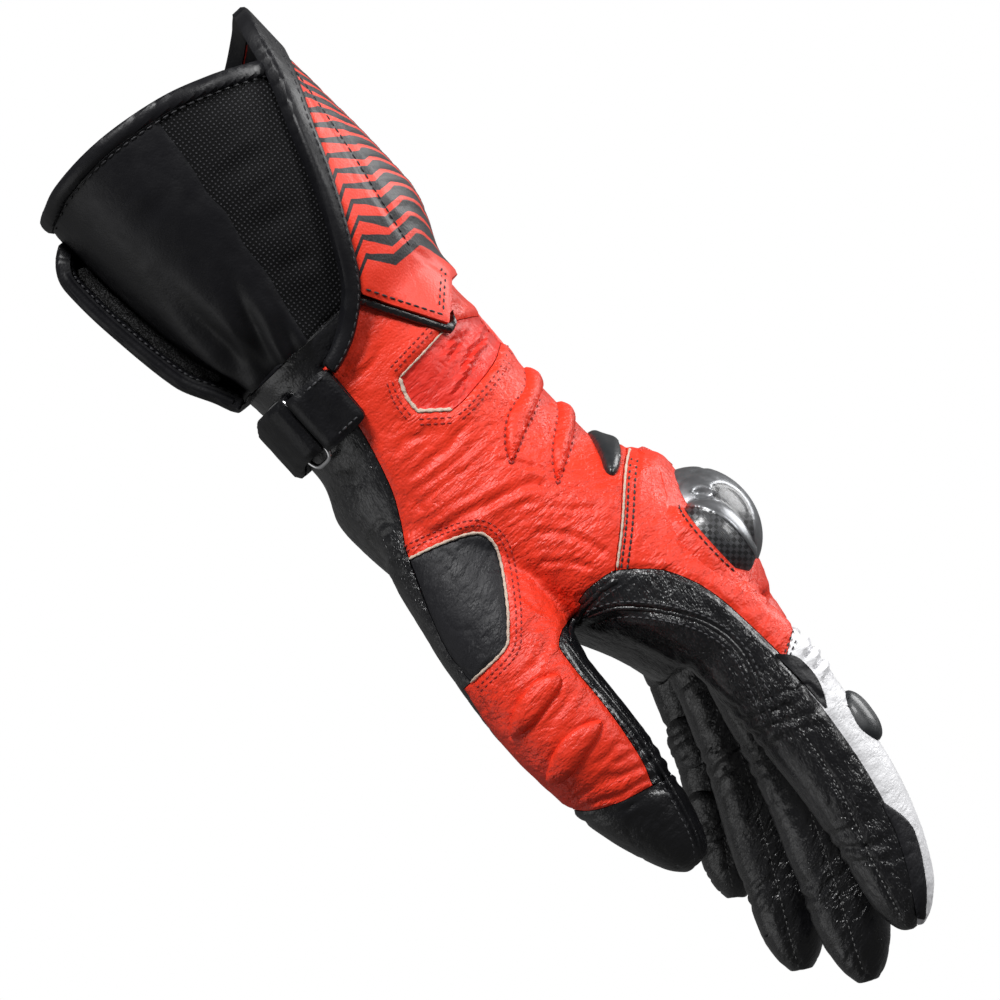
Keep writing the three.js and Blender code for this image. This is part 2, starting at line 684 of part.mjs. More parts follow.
const flapBand = body(flapTo + bindingRise, { hang: flapDrop })
  .subtract(body(backFrom - seam, { hang: flapDrop }))
  .intersect(region(flapPlace(flapEnds.mouth, flapEdge), 0))
  .subtract(region(flapInside, seam))
  .subtract(region([[flapInside[0][0], flapEdge + bindingWidth, far]], bindingWidth / 4));
add('flap_binding', wholePanel(flapBand), finish.cuff);

const hookTo = backFrom - 2 * seam;
const hookSide = sideBox(cuffX(0.7), cuffX(0.2), -outerReach, 0);
const hookPlace = [[hookSide, flapEdge + bindingWidth, hookReach * handWidth]];
const hookLayer = body(hookTo, { hang: flapDrop })
  .subtract(body(hookTo - hookThickness, { hang: flapDrop }));
add('hook_strip', wholePanel(hookLayer.intersect(region(hookPlace, 0))), finish.hook);

// Wrist strap: a tab and a strap that meet in a wire ring on the thumb side

const wristMiddle = (wristTop + wristBottom) / 2;
const ringHeight = wristMiddle - wristDepth * ringPlace;
const ringMiddle = cuffX(0) + strapWidth / 2 + 1;

// How far out the wrist's side lies at a height, and how steeply its surface turns under there
function wristSide(z) {
  const up = Math.abs(z - wristMiddle) / (wristDepth / 2);
  const out = (1 - up ** bodySquare) ** (1 / bodySquare);
  const slope = ((up / out) ** (bodySquare - 1)) * (wristWidth / wristDepth);
  return { y: (-out * wristWidth) / 2, turn: Math.atan(slope) };
}

// A wire loop with rounded corners, lying in the wrist's surface
function wireRing(wire) {
  const [turns, round] = [20, 5];
  const torus = new THREE.TorusGeometry(1, wire / 2, round, turns);
  const place = torus.attributes.position;
  const [long, high] = [(strapWidth + 2 * ringWire) / 2, (ringOpening + ringWire) / 2];
  for (let i = 0; i < place.count; i += 1) {
    const angle = Math.atan2(place.getY(i), place.getX(i));
    const [c, s] = [Math.cos(angle), Math.sin(angle)];
    place.setX(i, place.getX(i) - c + long * rounded(c, 4));
    place.setY(i, place.getY(i) - s + high * rounded(s, 4));
  }
  const side = wristSide(ringHeight);
  const lift = seam + strapThickness / 2;
  torus.rotateX(Math.PI / 2 + side.turn);
  const down = lift * Math.sin(side.turn);
  return solid(torus.translate(ringMiddle, side.y - lift * Math.cos(side.turn), ringHeight - down));
}

const ringRoom = wireRing(ringWire + 2 * seam);
add('strap_ring', wireRing(ringWire), finish.steel);

const strapFrom = ringMiddle - strapWidth / 2;
const strapTo = ringMiddle + strapWidth / 2;
const tabPlace = [[sideBox(strapFrom, strapTo, ringHeight + strapGap, tabTop * handDepth), near, 0]];
const strapPlace = [
  [sideBox(strapFrom, strapTo, -outerReach, ringHeight - strapGap), near, 0],
  [sideBox(strapFrom, strapTo, -outerReach, 0), -seam, far],
];
const strapLayer = body(seam + strapThickness).subtract(body(seam)).subtract(ringRoom);
add('strap_tab', wholePanel(strapLayer.intersect(region(tabPlace, 0))), finish.cuff);
add('wrist_strap', wholePanel(strapLayer.intersect(region(strapPlace, 0))), finish.cuff);

// Two small raised pads on the little finger

const little = fingers[3];
const littlePath = fingerPath(little);
littlePads.forEach((along, i) => {
  const place = onFinger(littlePath, along);
  const pad = new THREE.SphereGeometry(1, 8, 5);
  pad.scale(little.length * 0.1, little.width * 0.28, little.depth * 0.28);
  pad.rotateY(-place.slope);
  pad.translate(place.x, place.y - place.wide * 0.32, place.z - place.deep * 0.28);
  add(`little_pad_${i + 1}`, wholePanel(solid(pad).subtract(tube(littlePath, seam))), finish.black);
});

export default group;
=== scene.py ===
import itertools
import math

import bpy
import numpy as np
from mathutils import Matrix, Vector
from mathutils.bvhtree import BVHTree
from mathutils.kdtree import KDTree


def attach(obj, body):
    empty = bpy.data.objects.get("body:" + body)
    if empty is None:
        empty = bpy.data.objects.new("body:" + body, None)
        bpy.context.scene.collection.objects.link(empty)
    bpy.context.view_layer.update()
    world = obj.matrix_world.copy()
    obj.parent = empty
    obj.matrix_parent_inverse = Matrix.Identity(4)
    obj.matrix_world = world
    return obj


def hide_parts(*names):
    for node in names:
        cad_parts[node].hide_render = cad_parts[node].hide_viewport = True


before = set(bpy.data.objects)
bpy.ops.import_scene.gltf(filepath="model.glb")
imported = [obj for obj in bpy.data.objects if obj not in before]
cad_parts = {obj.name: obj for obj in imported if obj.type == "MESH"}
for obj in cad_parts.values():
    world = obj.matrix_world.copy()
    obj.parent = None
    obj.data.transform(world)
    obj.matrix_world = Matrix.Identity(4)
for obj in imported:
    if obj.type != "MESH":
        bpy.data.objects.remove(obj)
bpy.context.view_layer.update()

# Sizes in millimetres, the same as the solids' own. X runs to the fingertips, Z out of the back of
# the hand, and the thumb lies at negative Y. Meshes are turned to metres when they are made.

MM = 0.001
LEATHER = 1.8
HAND_LENGTH = 100
HAND_WIDTH = 98
HAND_DEPTH = 80
WRIST_WIDTH = 75
WRIST_TOP = 31.15
WRIST_BOTTOM = -32.35
CUFF_START = -22
CUFF_LENGTH = 90
CUFF_WIDTH = 106
CUFF_TOP = 38
CUFF_BOTTOM = -42
FLAP_DROP = 5.5
FLAP_BEND = 7.0
FAR_DROOP = 0.11
BODY_SQUARE = 2.5
TUBE_SQUARE = 2.3
THUMB_START = 19
THUMB_LENGTH = 131
THUMB_WIDTH = 31
THUMB_DEPTH = 33
LOWER_SPLIT = -30.4
THUMB_SPLIT = -42.1
FAR = 200
GAP = 0.12
ROUND = 2 * math.pi
# new points from each one of a curve's table to the next
PIECES = 6
# where the index finger leaves the hand, and the side of it that faces the middle finger
INDEX_FROM = 112
INDEX_SIDE = -24.45
# how far the back, the trim, the flap, the hook strip and the strap lie outside the wall
BACK_OUT, TRIM_OUT, FLAP_OUT, HOOK_OUT, STRAP_OUT = 3.5, 1.1, 3.3, 0.3, 4.7
SKIN_START = -28.9

# along, wide, high, low, folds, flap
CUFF = [
    (1.04, 1.00, 0.65, 1.00, 0.00, 0.70),
    (0.70, 0.89, 0.75, 0.90, 0.00, 1.00),
    (0.45, 0.68, 0.85, 0.76, 0.15, 0.95),
    (0.26, 0.44, 0.90, 0.54, 0.70, 0.80),
    (0.12, 0.18, 0.50, 0.16, 1.00, 0.40),
]
# along, top, bottom, near, far
HAND = [
    (0.16, 0.385, -0.465, 0.39, 0.40),
    (0.40, 0.395, -0.430, 0.43, 0.45),
    (0.52, 0.480, -0.330, 0.44, 0.475),
    (0.60, 0.540, -0.275, 0.45, 0.485),
    (0.78, 0.530, -0.150, 0.475, 0.495),
    (0.97, 0.545, -0.035, 0.50, 0.490),
    (1.06, 0.510, 0.000, 0.49, 0.465),
]
# along, out, up, wide, deep
THUMB = [
    (0.00, -0.20, -0.180, 0.80, 0.75),
    (0.15, -0.25, -0.238, 1.02, 1.06),
    (0.30, -0.32, -0.282, 1.10, 1.09),
    (0.42, -0.38, -0.310, 1.08, 1.06),
    (0.53, -0.42, -0.335, 1.00, 1.01),
    (0.64, -0.43, -0.337, 0.98, 0.96),
    (0.75, -0.41, -0.336, 0.95, 0.88),
    (0.84, -0.39, -0.330, 0.87, 0.75),
    (0.91, -0.37, -0.323, 0.75, 0.58),
    (0.96, -0.36, -0.318, 0.58, 0.42),
    (0.99, -0.355, -0.315, 0.34, 0.22),
]
# along, wide, deep
FINGER = [
    (0.00, 0.92, 1.02),
    (0.18, 0.98, 1.07),
    (0.42, 1.00, 1.00),
    (0.60, 0.98, 0.95),
    (0.76, 0.95, 0.87),
    (0.89, 0.85, 0.70),
    (0.96, 0.64, 0.46),
    (0.995, 0.36, 0.22),
]
# length, width, depth, drop, curve, fan, start, web, side, height
FINGERS = {
    "index": (102, 24, 27.5, 17, 3.3, 0, 100, 118, -36.65, 23.2),
    "middle": (106, 24, 27, 38, 1.5, 0, 100, 117, -12.25, 25.6),
    "ring": (94.5, 24, 26.5, 44, 1.3, 1, 98, 114, 12.25, 19.6),
    "little": (72.5, 23, 23.5, 37.5, 1.45, 4, 94, 108, 36.16, 12.8),
}
START, WEB, SIDE = 6, 7, 8

# Curves and fields


def eased(xs, ys, at):
    """A smooth curve through the points of a table that never overshoots them"""
    xs, ys = np.asarray(xs, float), np.asarray(ys, float)
    step = np.diff(xs)
    rise = np.diff(ys) / step
    slope = np.zeros(len(xs))
    same = rise[:-1] * rise[1:] > 0
    before, after = step[:-1][same], step[1:][same]
    mean = 3 * (before + after) / (
        (2 * after + before) / rise[:-1][same] + (after + 2 * before) / rise[1:][same]
    )
    slope[1:-1][same] = mean
    slope[0], slope[-1] = rise[0], rise[-1]
    at = np.clip(at, xs[0], xs[-1])
    i = np.clip(np.searchsorted(xs, at) - 1, 0, len(xs) - 2)
    t = (at - xs[i]) / step[i]
    return ((1 + 2 * t) * (1 - t) ** 2 * ys[i] + t * (1 - t) ** 2 * step[i] * slope[i]
        + t * t * (3 - 2 * t) * ys[i + 1] + t * t * (t - 1) * step[i] * slope[i + 1])


def curve(points, closed=False, sharp=()):
    """Points along a smooth line through the given ones, with corners at the sharp ones"""
    points = [np.asarray(p, float) for p in points]
    count = len(points)
    made = []
    for i in range(count if closed else count - 1):
        b, c = points[i], points[(i + 1) % count]
        a = points[i - 1] if (closed or i) and i not in sharp else 2 * b - c
        ends = (i + 1) % count in sharp or (not closed and i == count - 2)
        d = 2 * c - b if ends else points[(i + 2) % count]
        for t in np.arange(PIECES) / PIECES:
            made.append(b + 0.5 * t * (c - a + t * (2 * a - 5 * b + 4 * c - d + t * (3 * (b - c) + d - a))))
    if not closed:
        made.append(points[-1])
    return np.array(made)


def line_distance(points, line, closed=False):
    """Distance of flat points from a line, and the place along it of the nearest spot"""
    ends = np.roll(line, -1, 0) if closed else line[1:]
    starts = line if closed else line[:-1]
    best = np.full(len(points), 1e9)
    place = np.zeros(len(points))
    total = 0.0
    for a, b in zip(starts, ends):
        way = b - a
        long = max(1e-9, np.linalg.norm(way))
        t = np.clip(((points - a) @ way) / long**2, 0, 1)
        far = np.linalg.norm(points - a - t[:, None] * way, axis=1)
        nearer = far < best
        best[nearer] = far[nearer]
        place[nearer] = total + t[nearer] * long
        total += long
    return best, place


def inside(points, outline):
    """Distance of flat points inside a closed outline, negative outside it"""
    best, _ = line_distance(points, outline, closed=True)
    crossings = np.zeros(len(points), bool)
    for a, b in zip(outline, np.roll(outline, -1, 0)):
        spans = (a[1] > points[:, 1]) != (b[1] > points[:, 1])
        if spans.any():
            at = a[0] + (points[:, 1] - a[1]) * (b[0] - a[0]) / (b[1] - a[1] + 1e-12)
            crossings ^= spans & (points[:, 0] < at)
    return np.where(crossings, best, -best)


def side_view(points):
    return points[:, [0, 2]]


def region(points, *parts):
    """Distance inside the union of outlines, each with its range of Y"""
    flat = side_view(points)
    y = points[:, 1]
    return np.max([np.minimum(inside(flat, o), np.minimum(y - low, high - y)) for o, low, high in parts], 0)


def value_noise(points, size, seed):
    """Smooth random values from -1 to 1 that change over a distance of size"""
    spots = points / size
    cell = np.floor(spots).astype(np.int64)
    part = spots - cell
    part = part * part * (3 - 2 * part)
    total = np.zeros(len(points))
    for corner in itertools.product((0, 1), repeat=3):
        key = (cell + np.array(corner)) @ np.array([73856093, 19349663, 83492791]) + seed * 7919
        key = (key ^ (key >> 13)) * 1274126177
        value = ((key ^ (key >> 16)) & 0xFFFFFF) / 0x7FFFFF - 1
        total += value * np.prod(np.where(np.array(corner) == 1, part, 1 - part), axis=1)
    return total


def creases(points, size, stretch, seed, thin=4.0):
    """Thin lines from 0 to 1 where a stretched noise crosses zero"""
    values = value_noise(points / np.asarray(stretch, float), size, seed)
    wander = value_noise(points, size * 3, seed + 5)
    return np.clip(1 - np.abs(values) * thin, 0, 1) ** 2 * np.clip(0.5 + wander, 0, 1)


def smoothstep(low, high, value):
    t = np.clip((value - low) / (high - low), 0, 1)
    return t * t * (3 - 2 * t)


def chosen(condition):
    """A field well above zero where the condition holds and well below it elsewhere"""
    return np.where(condition, 5.0, -5.0)


def bell(value, width):
    return np.exp(-((value / width) ** 2))


def unit(vectors, least=1e-9):
    return vectors / np.maximum(np.linalg.norm(vectors, axis=1), least)[:, None]


def circle(count):
    return np.arange(count) / count * ROUND


# Triangle meshes


class Shape:
    """A triangle mesh in millimetres, with values kept for each of its corners"""

    def __init__(self, points, faces, **kept):
        self.points = np.asarray(points, float)
        self.faces = np.asarray(faces, int)
        self.kept = kept

    def normals(self):
        if "normal" in self.kept:
            return unit(self.kept["normal"], 1e-12)
        a, b, c = (self.points[self.faces[:, i]] for i in range(3))
        flat = np.cross(b - a, c - a)
        total = np.zeros_like(self.points)
        for i in range(3):
            np.add.at(total, self.faces[:, i], flat)
        return unit(total, 1e-12)

    def moved(self, by):
        """The same mesh with each point moved along its normal"""
        by = np.broadcast_to(by, len(self.points))[:, None]
        return Shape(self.points + self.normals() * by, self.faces, **self.kept)

    def sides(self):
        return self.faces[:, [[0, 1], [1, 2], [2, 0]]].reshape(-1, 2)

    def edge_points(self):
        """The open edges, each as it runs in its face"""
        sides = self.sides()
        low_high = np.sort(sides, axis=1)
        _, first, count = np.unique(low_high, axis=0, return_index=True, return_counts=True)
        return sides[first[count == 1]]

    def edge_distance(self):
        """Distance of each point from the nearest open edge"""
        rim = np.unique(self.edge_points())
        tree = KDTree(len(rim))
        for i in rim:
            tree.insert(self.points[i], int(i))
        tree.balance()
        return np.array([tree.find(p)[2] for p in self.points])


def clipped(shape, field):
    """The part of a mesh where a field given at its points is positive, cut exactly along zero"""
    shape = Shape(shape.points, shape.faces, **{"normal": shape.normals(), **shape.kept})
    field = np.where(np.abs(field) < 1e-6, 1e-6, field)
    faces = shape.faces
    within = field > 0
    count = within[faces].sum(1)
    whole = faces[count == 3]
    one, two = faces[count == 1], faces[count == 2]

    def turned(some, wanted):
        first = np.argmax(within[some] == wanted, axis=1)
        rows = np.arange(len(some))[:, None]
        return some[rows, (first[:, None] + np.arange(3)) % 3]

    one, two = turned(one, True), turned(two, False)
    cut = np.concatenate([one[:, [0, 1]], one[:, [0, 2]], two[:, [0, 1]], two[:, [0, 2]]])
    low_high = np.sort(cut, axis=1)
    edges, which = np.unique(low_high, axis=0, return_inverse=True)
    which = which.reshape(-1) + len(shape.points)
    a, b = edges[:, 0], edges[:, 1]
    t = field[a] / (field[a] - field[b])
    t = t[:, None]
    points = np.concatenate([shape.points, shape.points[a] * (1 - t) + shape.points[b] * t])
    kept = {}
    for name, values in shape.kept.items():
        share = t if values.ndim > 1 else t[:, 0]
        kept[name] = np.concatenate([values, values[a] * (1 - share) + values[b] * share])
    n1, n2 = len(one), len(two)
    one_b, one_c = which[:n1], which[n1 : 2 * n1]
    two_b, two_c = which[2 * n1 : 2 * n1 + n2], which[2 * n1 + n2 :]
    new = np.concatenate([whole, np.stack([one[:, 0], one_b, one_c], 1),
        np.stack([two_b, two[:, 1], two[:, 2]], 1), np.stack([two_b, two[:, 2], two_c], 1)])
    return compact(points, new, kept)


def compact(points, faces, kept):
    used = np.unique(faces)
    place = np.full(len(points), -1)
    place[used] = np.arange(len(used))
    return Shape(points[used], place[faces], **{k: v[used] for k, v in kept.items()})


def largest(shape):
    """The largest connected piece of a mesh"""
    label = np.arange(len(shape.points))
    sides = shape.sides()
    while True:
        low = np.minimum(label[sides[:, 0]], label[sides[:, 1]])
        new = label.copy()
        np.minimum.at(new, sides[:, 0], low)
        np.minimum.at(new, sides[:, 1], low)
        new = new[new]
        if (new == label).all():
            break
        label = new
    best = np.argmax(np.bincount(label))
    return compact(shape.points, shape.faces[label[shape.faces[:, 0]] == best], shape.kept)


def thickened(shape, depth):
    """A closed wall behind an open mesh"""
    back = shape.points - shape.normals() * np.broadcast_to(depth, len(shape.points))[:, None]
    count = len(shape.points)
    rim = shape.edge_points()
    a, b = rim[:, 0], rim[:, 1]
    sides = np.concatenate([np.stack([b, a, a + count], 1), np.stack([b, a + count, b + count], 1)])
    faces = np.concatenate([shape.faces, shape.faces[:, ::-1] + count, sides])
    kept = {k: np.concatenate([v, v]) for k, v in shape.kept.items()}
    return Shape(np.concatenate([shape.points, back]), faces, **kept)


def grid(rings, closed_ends=False):
    """A tube through rings of equal length, as a triangle mesh"""
    rings = np.asarray(rings, float)
    rows, sides, _ = rings.shape
    r, s = np.meshgrid(np.arange(rows - 1), np.arange(sides), indexing="ij")
    a = (r * sides + s).ravel()
    b = (r * sides + (s + 1) % sides).ravel()
    faces = np.concatenate([np.stack([a, b, b + sides], 1), np.stack([a, b + sides, a + sides], 1)])
    points = rings.reshape(-1, 3)
    if closed_ends:
        first, last = len(points), len(points) + 1
        points = np.concatenate([points, rings[0].mean(0)[None], rings[-1].mean(0)[None]])
        s = np.arange(sides)
        n = (s + 1) % sides
        base = (rows - 1) * sides
        caps = [np.stack([np.full(sides, first), n, s], 1), np.stack([np.full(sides, last), base + s, base
            + n], 1)]
        faces = np.concatenate([faces, *caps])
    return Shape(points, faces)


def relaxed(shape, rounds, weight=None):
    """Evens out a mesh without shrinking it much"""
    sides = shape.sides()
    both = np.unique(np.sort(sides, axis=1), axis=0)
    both = np.concatenate([both, both[:, ::-1]])
    count = np.bincount(both[:, 0], minlength=len(shape.points))[:, None]
    points = shape.points.copy()
    strength = 1.0 if weight is None else weight[:, None]
    for _ in range(rounds):
        for step in (0.5, -0.52) if weight is None else (0.5,):
            total = np.zeros_like(points)
            np.add.at(total, both[:, 0], points[both[:, 1]])
            points += step * strength * (total / np.maximum(count, 1) - points)
    return Shape(points, shape.faces, **shape.kept)


def rounded(value, square):
    return np.sign(value) * np.abs(value) ** (2 / square)


# Forms of the glove


def body_rings(xs, by=0.0, sides=180, hang=0.0):
    """Rings of the hand and cuff at the given X, grown by a distance"""
    cuff = [(CUFF_START - a * CUFF_LENGTH, WRIST_TOP + (CUFF_TOP - WRIST_TOP) * high, WRIST_BOTTOM
        + (CUFF_BOTTOM - WRIST_BOTTOM) * low - flap * hang, (WRIST_WIDTH
        + (CUFF_WIDTH - WRIST_WIDTH) * wide) / 2, (WRIST_WIDTH + (CUFF_WIDTH - WRIST_WIDTH) * wide) / 2, 0)
        for a, wide, high, low, _, flap in CUFF]
    wrist = [(x, WRIST_TOP, WRIST_BOTTOM, WRIST_WIDTH / 2, WRIST_WIDTH / 2, 0) for x in (CUFF_START, 0)]
    hand = [(a * HAND_LENGTH, top * HAND_DEPTH, bottom * HAND_DEPTH, near * HAND_WIDTH, far * HAND_WIDTH,
        a * FAR_DROOP * HAND_DEPTH) for a, top, bottom, near, far in HAND]
    table = np.array(cuff + wrist + hand)
    top, bottom, near, far, droop = (eased(table[:, 0], table[:, i], xs) for i in range(1, 6))
    angle = circle(sides)
    across = rounded(np.cos(angle), BODY_SQUARE)[None]
    up = rounded(np.sin(angle), BODY_SQUARE)[None]
    middle, half = (top + bottom) / 2, (top - bottom) / 2 + by
    width = np.where(across < 0, near[:, None], far[:, None]) + by
    sag = np.where(across > 0, droop[:, None] * across * across, 0)
    x = np.broadcast_to(np.asarray(xs, float)[:, None], across.shape if len(xs) == 1 else (len(xs), sides))
    return np.stack([x, width * across, middle[:, None] + half[:, None] * up - sag], -1)


def tube_rings(path, by=0.0, sides=72):
    """Rings of a finger or the thumb along a path of x, y, z, wide and deep"""
    x, y, z, wide, deep = path.T
    slope = np.arctan2(np.gradient(z), np.gradient(x))
    angle = circle(sides)
    across = (wide / 2 + by)[:, None] * rounded(np.cos(angle), TUBE_SQUARE)[None]
    up = (deep / 2 + by)[:, None] * rounded(np.sin(angle), TUBE_SQUARE)[None]
    return np.stack([x[:, None] - np.sin(slope)[:, None] * up, y[:, None] + across, z[:, None]
        + np.cos(slope)[:, None] * up], -1)


def thumb_path(count=140):
    table = np.array(THUMB)
    along = end_spread(count) * table[-1, 0]
    column = [eased(table[:, 0], table[:, i], along) for i in range(1, 5)]
    return np.stack([THUMB_START + along * THUMB_LENGTH, column[0] * HAND_WIDTH, column[1] * HAND_DEPTH,
        column[2] * THUMB_WIDTH, column[3] * THUMB_DEPTH], 1)


def end_spread(count):
    """Shares from 0 to 1 that crowd together towards 1, for a round tip"""
    t = np.linspace(0, 1, count)
    return np.where(t < 0.8, t * 1.1, 0.88 + 0.12 * np.sin((t - 0.8) / 0.2 * math.pi / 2))


def finger_path(name, count=150):
    length, width, depth, drop, bend, fan, start, _, side, height = FINGERS[name]
    table = np.array(FINGER)
    along = end_spread(count) * table[-1, 0]
    wide, deep = (eased(table[:, 0], table[:, i], along) for i in (1, 2))
    return np.stack([start + along * length, side + along * fan, height - drop * along**bend, wide * width,
        deep * depth], 1)


# Outlines seen from the thumb side, in millimetres

UPPER_BACK = curve(
    [(-31, -4), (74.5, -4), (72.8, 0), (72.6, 5), (73.6, 11), (78, 17), (84, 22.5), (95, 27.2), (110, 29.2),
     (130, 30.4), (130, 64), (-31, 64)], True, (0, 1, 9, 10, 11))
LOWER_BACK = curve([(-24, -2), (-22.5, -11), (-10, -13.6), (0, -15), (15, -19), (24, -23.3), (33, -28.5),
    (50, -35), (60, -37.4), (70, -38.5), (76, -40.5), (76, -2)], True, (0, 1, 9, 10, 11))
THUMB_BACK = curve([(70, -56), (113, -56), (114.6, -41.6), (118.6, -37), (121.6, -30), (124.4, -20),
    (116, -17.2), (100, -15.0), (82, -14), (77.5, -12), (74.6, -6), (70, -3)], True, (0, 1, 2, 5, 10, 11))
FAR_BACK = curve(
    [(-31, -6.4), (0, -9.6), (40, -12), (80, 0), (95, 12.8), (130, 12.8), (130, 64), (-31, 64)], True,
    (0, 5, 6, 7))
KNUCKLE = curve([(49.5, 64), (49.5, 41), (52.5, 35), (56, 30.6), (65, 21.6), (73.5, 11.8), (78, 9), (130, 9),
    (130, 64)], True, (0, 6, 7, 8))
PATCH = curve(
    [(33.5, -28.5), (36, -20), (40, -10.8), (44, -8.2), (50, -9.6), (60, -16), (66, -21), (69.4, -25.5),
     (70, -38.5), (60, -37.9), (50, -35), (40, -31)], True, (0, 8))
WINDOW = curve([(-7, 24), (-6, 15), (-5, 3), (0, 1), (5, 0.6), (11, 8), (11, 13), (9, 25), (5.5, 31.5),
    (2, 40), (-4, 30)], True, (0, 2, 4, 5, 8, 9, 10))
THUMB_TIP = curve([(113, -56), (114.6, -41.6), (118.6, -37), (121.6, -30), (124.4, -20.4), (125.6, -13.6),
    (160, -8), (160, -56)], True, (0, 1, 4, 5, 6, 7))
RIDGES = [
    curve([(7.5, 64), (9.4, 33.6), (12.2, 31.6), (16.3, 30.1), (19.8, 27), (21.2, 22.7), (22.6, 18.4),
        (26.1, 14.1), (29.7, 11.4), (33.0, 9.8), (31.3, 13.8), (28.5, 19.2), (26.4, 24.4), (24, 29.1),
        (21.3, 32.8), (20.4, 64)], True, (0, 1, 9, 14, 15)),
    curve([(22.4, 64), (23.4, 34.2), (27.6, 31.5), (31.7, 28.6), (35.2, 24.1), (38.1, 20.8), (41.6, 18),
        (45.8, 15.6), (43.4, 19.8), (40.8, 24.5), (37.5, 29.2), (34, 33), (33, 36), (32.4, 64)], True,
        (0, 1, 7, 12, 13)),
]
PLATE = curve([(33.4, 64), (33.4, 34.0), (38, 32.2), (43, 31), (48, 29.4), (51.8, 27.8), (54.2, 28.6),
    (53.4, 31.6), (50.6, 34.6), (46.8, 36.8), (45.6, 64)], True, (0, 1, 9, 10))
THUMB_RIDGES = [
    curve([(84.4, -18.8), (82.2, -22), (81.4, -27), (83.0, -34), (87.2, -39.6), (89.6, -38.4), (90, -33),
        (88.6, -26), (87.2, -20.6)], True),
    curve([(101.4, -18.8), (99.2, -22.6), (98.2, -28), (99.4, -34.6), (103.4, -40.8), (106.2, -40),
        (107.2, -35), (105.6, -28), (104, -21.6)], True),
]

# The hand's skin: hand, thumb and finger roots run into each other

VOXEL = 0.85


def to_object(name, shape):
    mesh = bpy.data.meshes.new(name)
    mesh.vertices.add(len(shape.points))
    mesh.vertices.foreach_set("co", (shape.points * MM).astype(np.float32).ravel())
    mesh.loops.add(len(shape.faces) * 3)
    mesh.loops.foreach_set("vertex_index", shape.faces.astype(np.int32).ravel())
    mesh.polygons.add(len(shape.faces))
    mesh.polygons.foreach_set("loop_start", np.arange(0, len(shape.faces) * 3, 3, dtype=np.int32))
    mesh.update(calc_edges=True)
    mesh.validate()
    obj = bpy.data.objects.new(name, mesh)
    bpy.context.scene.collection.objects.link(obj)
    return obj


def from_mesh(mesh):
    mesh.calc_loop_triangles()
    points = np.zeros(len(mesh.vertices) * 3)
    mesh.vertices.foreach_get("co", points)
    faces = np.zeros(len(mesh.loop_triangles) * 3, np.int32)
    mesh.loop_triangles.foreach_get("vertices", faces)
    return Shape(points.reshape(-1, 3) / MM, faces.reshape(-1, 3))


def together(*shapes):
    offset = 0
    points, faces = [], []
    for shape in shapes:
        points.append(shape.points)
        faces.append(shape.faces + offset)
        offset += len(shape.points)
    return Shape(np.concatenate(points), np.concatenate(faces))


def fused(shapes, voxel):
    """Closed meshes run into one by a remesh"""
    obj = to_object("fusing", together(*shapes))
    remesh = obj.modifiers.new("remesh", "REMESH")
    remesh.mode = "VOXEL"
    remesh.voxel_size = voxel * MM
    remesh.adaptivity = 0
    evaluated = obj.evaluated_get(bpy.context.evaluated_depsgraph_get())
    made = from_mesh(evaluated.to_mesh())
    evaluated.to_mesh_clear()
    mesh = obj.data
    bpy.data.objects.remove(obj)
    bpy.data.meshes.remove(mesh)
    return made


def hand_form():
    body = grid(body_rings(np.linspace(-40, 106, 148)), True)
    parts = [body, grid(tube_rings(thumb_path()), True)]
    for name, row in FINGERS.items():
        path = finger_path(name)
        root = path if name == "index" else path[path[:, 0] < row[WEB] + 3]
        parts.append(grid(tube_rings(root), True))
    skin = relaxed(fused(parts, VOXEL), 8)
    x, y, z = skin.points.T
    crotch = bell(x - 76, 14) * bell(z + 10, 9) * (y < 0)
    heel = bell(x - 28, 26) * bell(z + 24, 16)
    webs = smoothstep(100, 108, x)
    return relaxed(skin, 30, np.clip(np.maximum.reduce([crotch, heel, 0.25 * webs]), 0, 1))


# Materials


def material(name, colour, roughness, metallic=0.0):
    made = bpy.data.materials.new(name)
    made.use_nodes = True
    shader = made.node_tree.nodes["Principled BSDF"]
    shader.inputs["Base Color"].default_value = (*colour, 1)
    shader.inputs["Roughness"].default_value = roughness
    shader.inputs["Metallic"].default_value = metallic
    return made, made.node_tree, shader


def place(tree, scale=(1, 1, 1), turn=(0, 0, 0)):
    """Coordinates in the object's own frame, turned and then stretched"""
    vector = tree.nodes.new("ShaderNodeTexCoord").outputs["Object"]
    for socket, value in (("Rotation", turn), ("Scale", scale)):
        mapping = tree.nodes.new("ShaderNodeMapping")
        mapping.inputs[socket].default_value = value
        tree.links.new(vector, mapping.inputs["Vector"])
        vector = mapping.outputs["Vector"]
    return vector


def axes(tree, turn=(0, 0, 0)):
    """X, Y and Z in millimetres"""
    node = tree.nodes.new("ShaderNodeSeparateXYZ")
    tree.links.new(place(tree, (1 / MM,) * 3, turn), node.inputs[0])
    return node.outputs


def noise(tree, vector, scale, detail=3.0, rough=0.5):
    node = tree.nodes.new("ShaderNodeTexNoise")
    node.inputs["Scale"].default_value = scale
    node.inputs["Detail"].default_value = detail
    node.inputs["Roughness"].default_value = rough
    tree.links.new(vector, node.inputs["Vector"])
    return node.outputs["Fac"]


def cells(tree, vector, scale, feature="F1"):
    node = tree.nodes.new("ShaderNodeTexVoronoi")
    node.feature = feature
    node.inputs["Scale"].default_value = scale
    tree.links.new(vector, node.inputs["Vector"])
    return node.outputs["Distance"]


def maths(tree, kind, *values):
    node = tree.nodes.new("ShaderNodeMath")
    node.operation = kind
    for i, value in enumerate(values):
        if isinstance(value, (int, float)):
            node.inputs[i].default_value = value
        else:
            tree.links.new(value, node.inputs[i])
    return node.outputs[0]


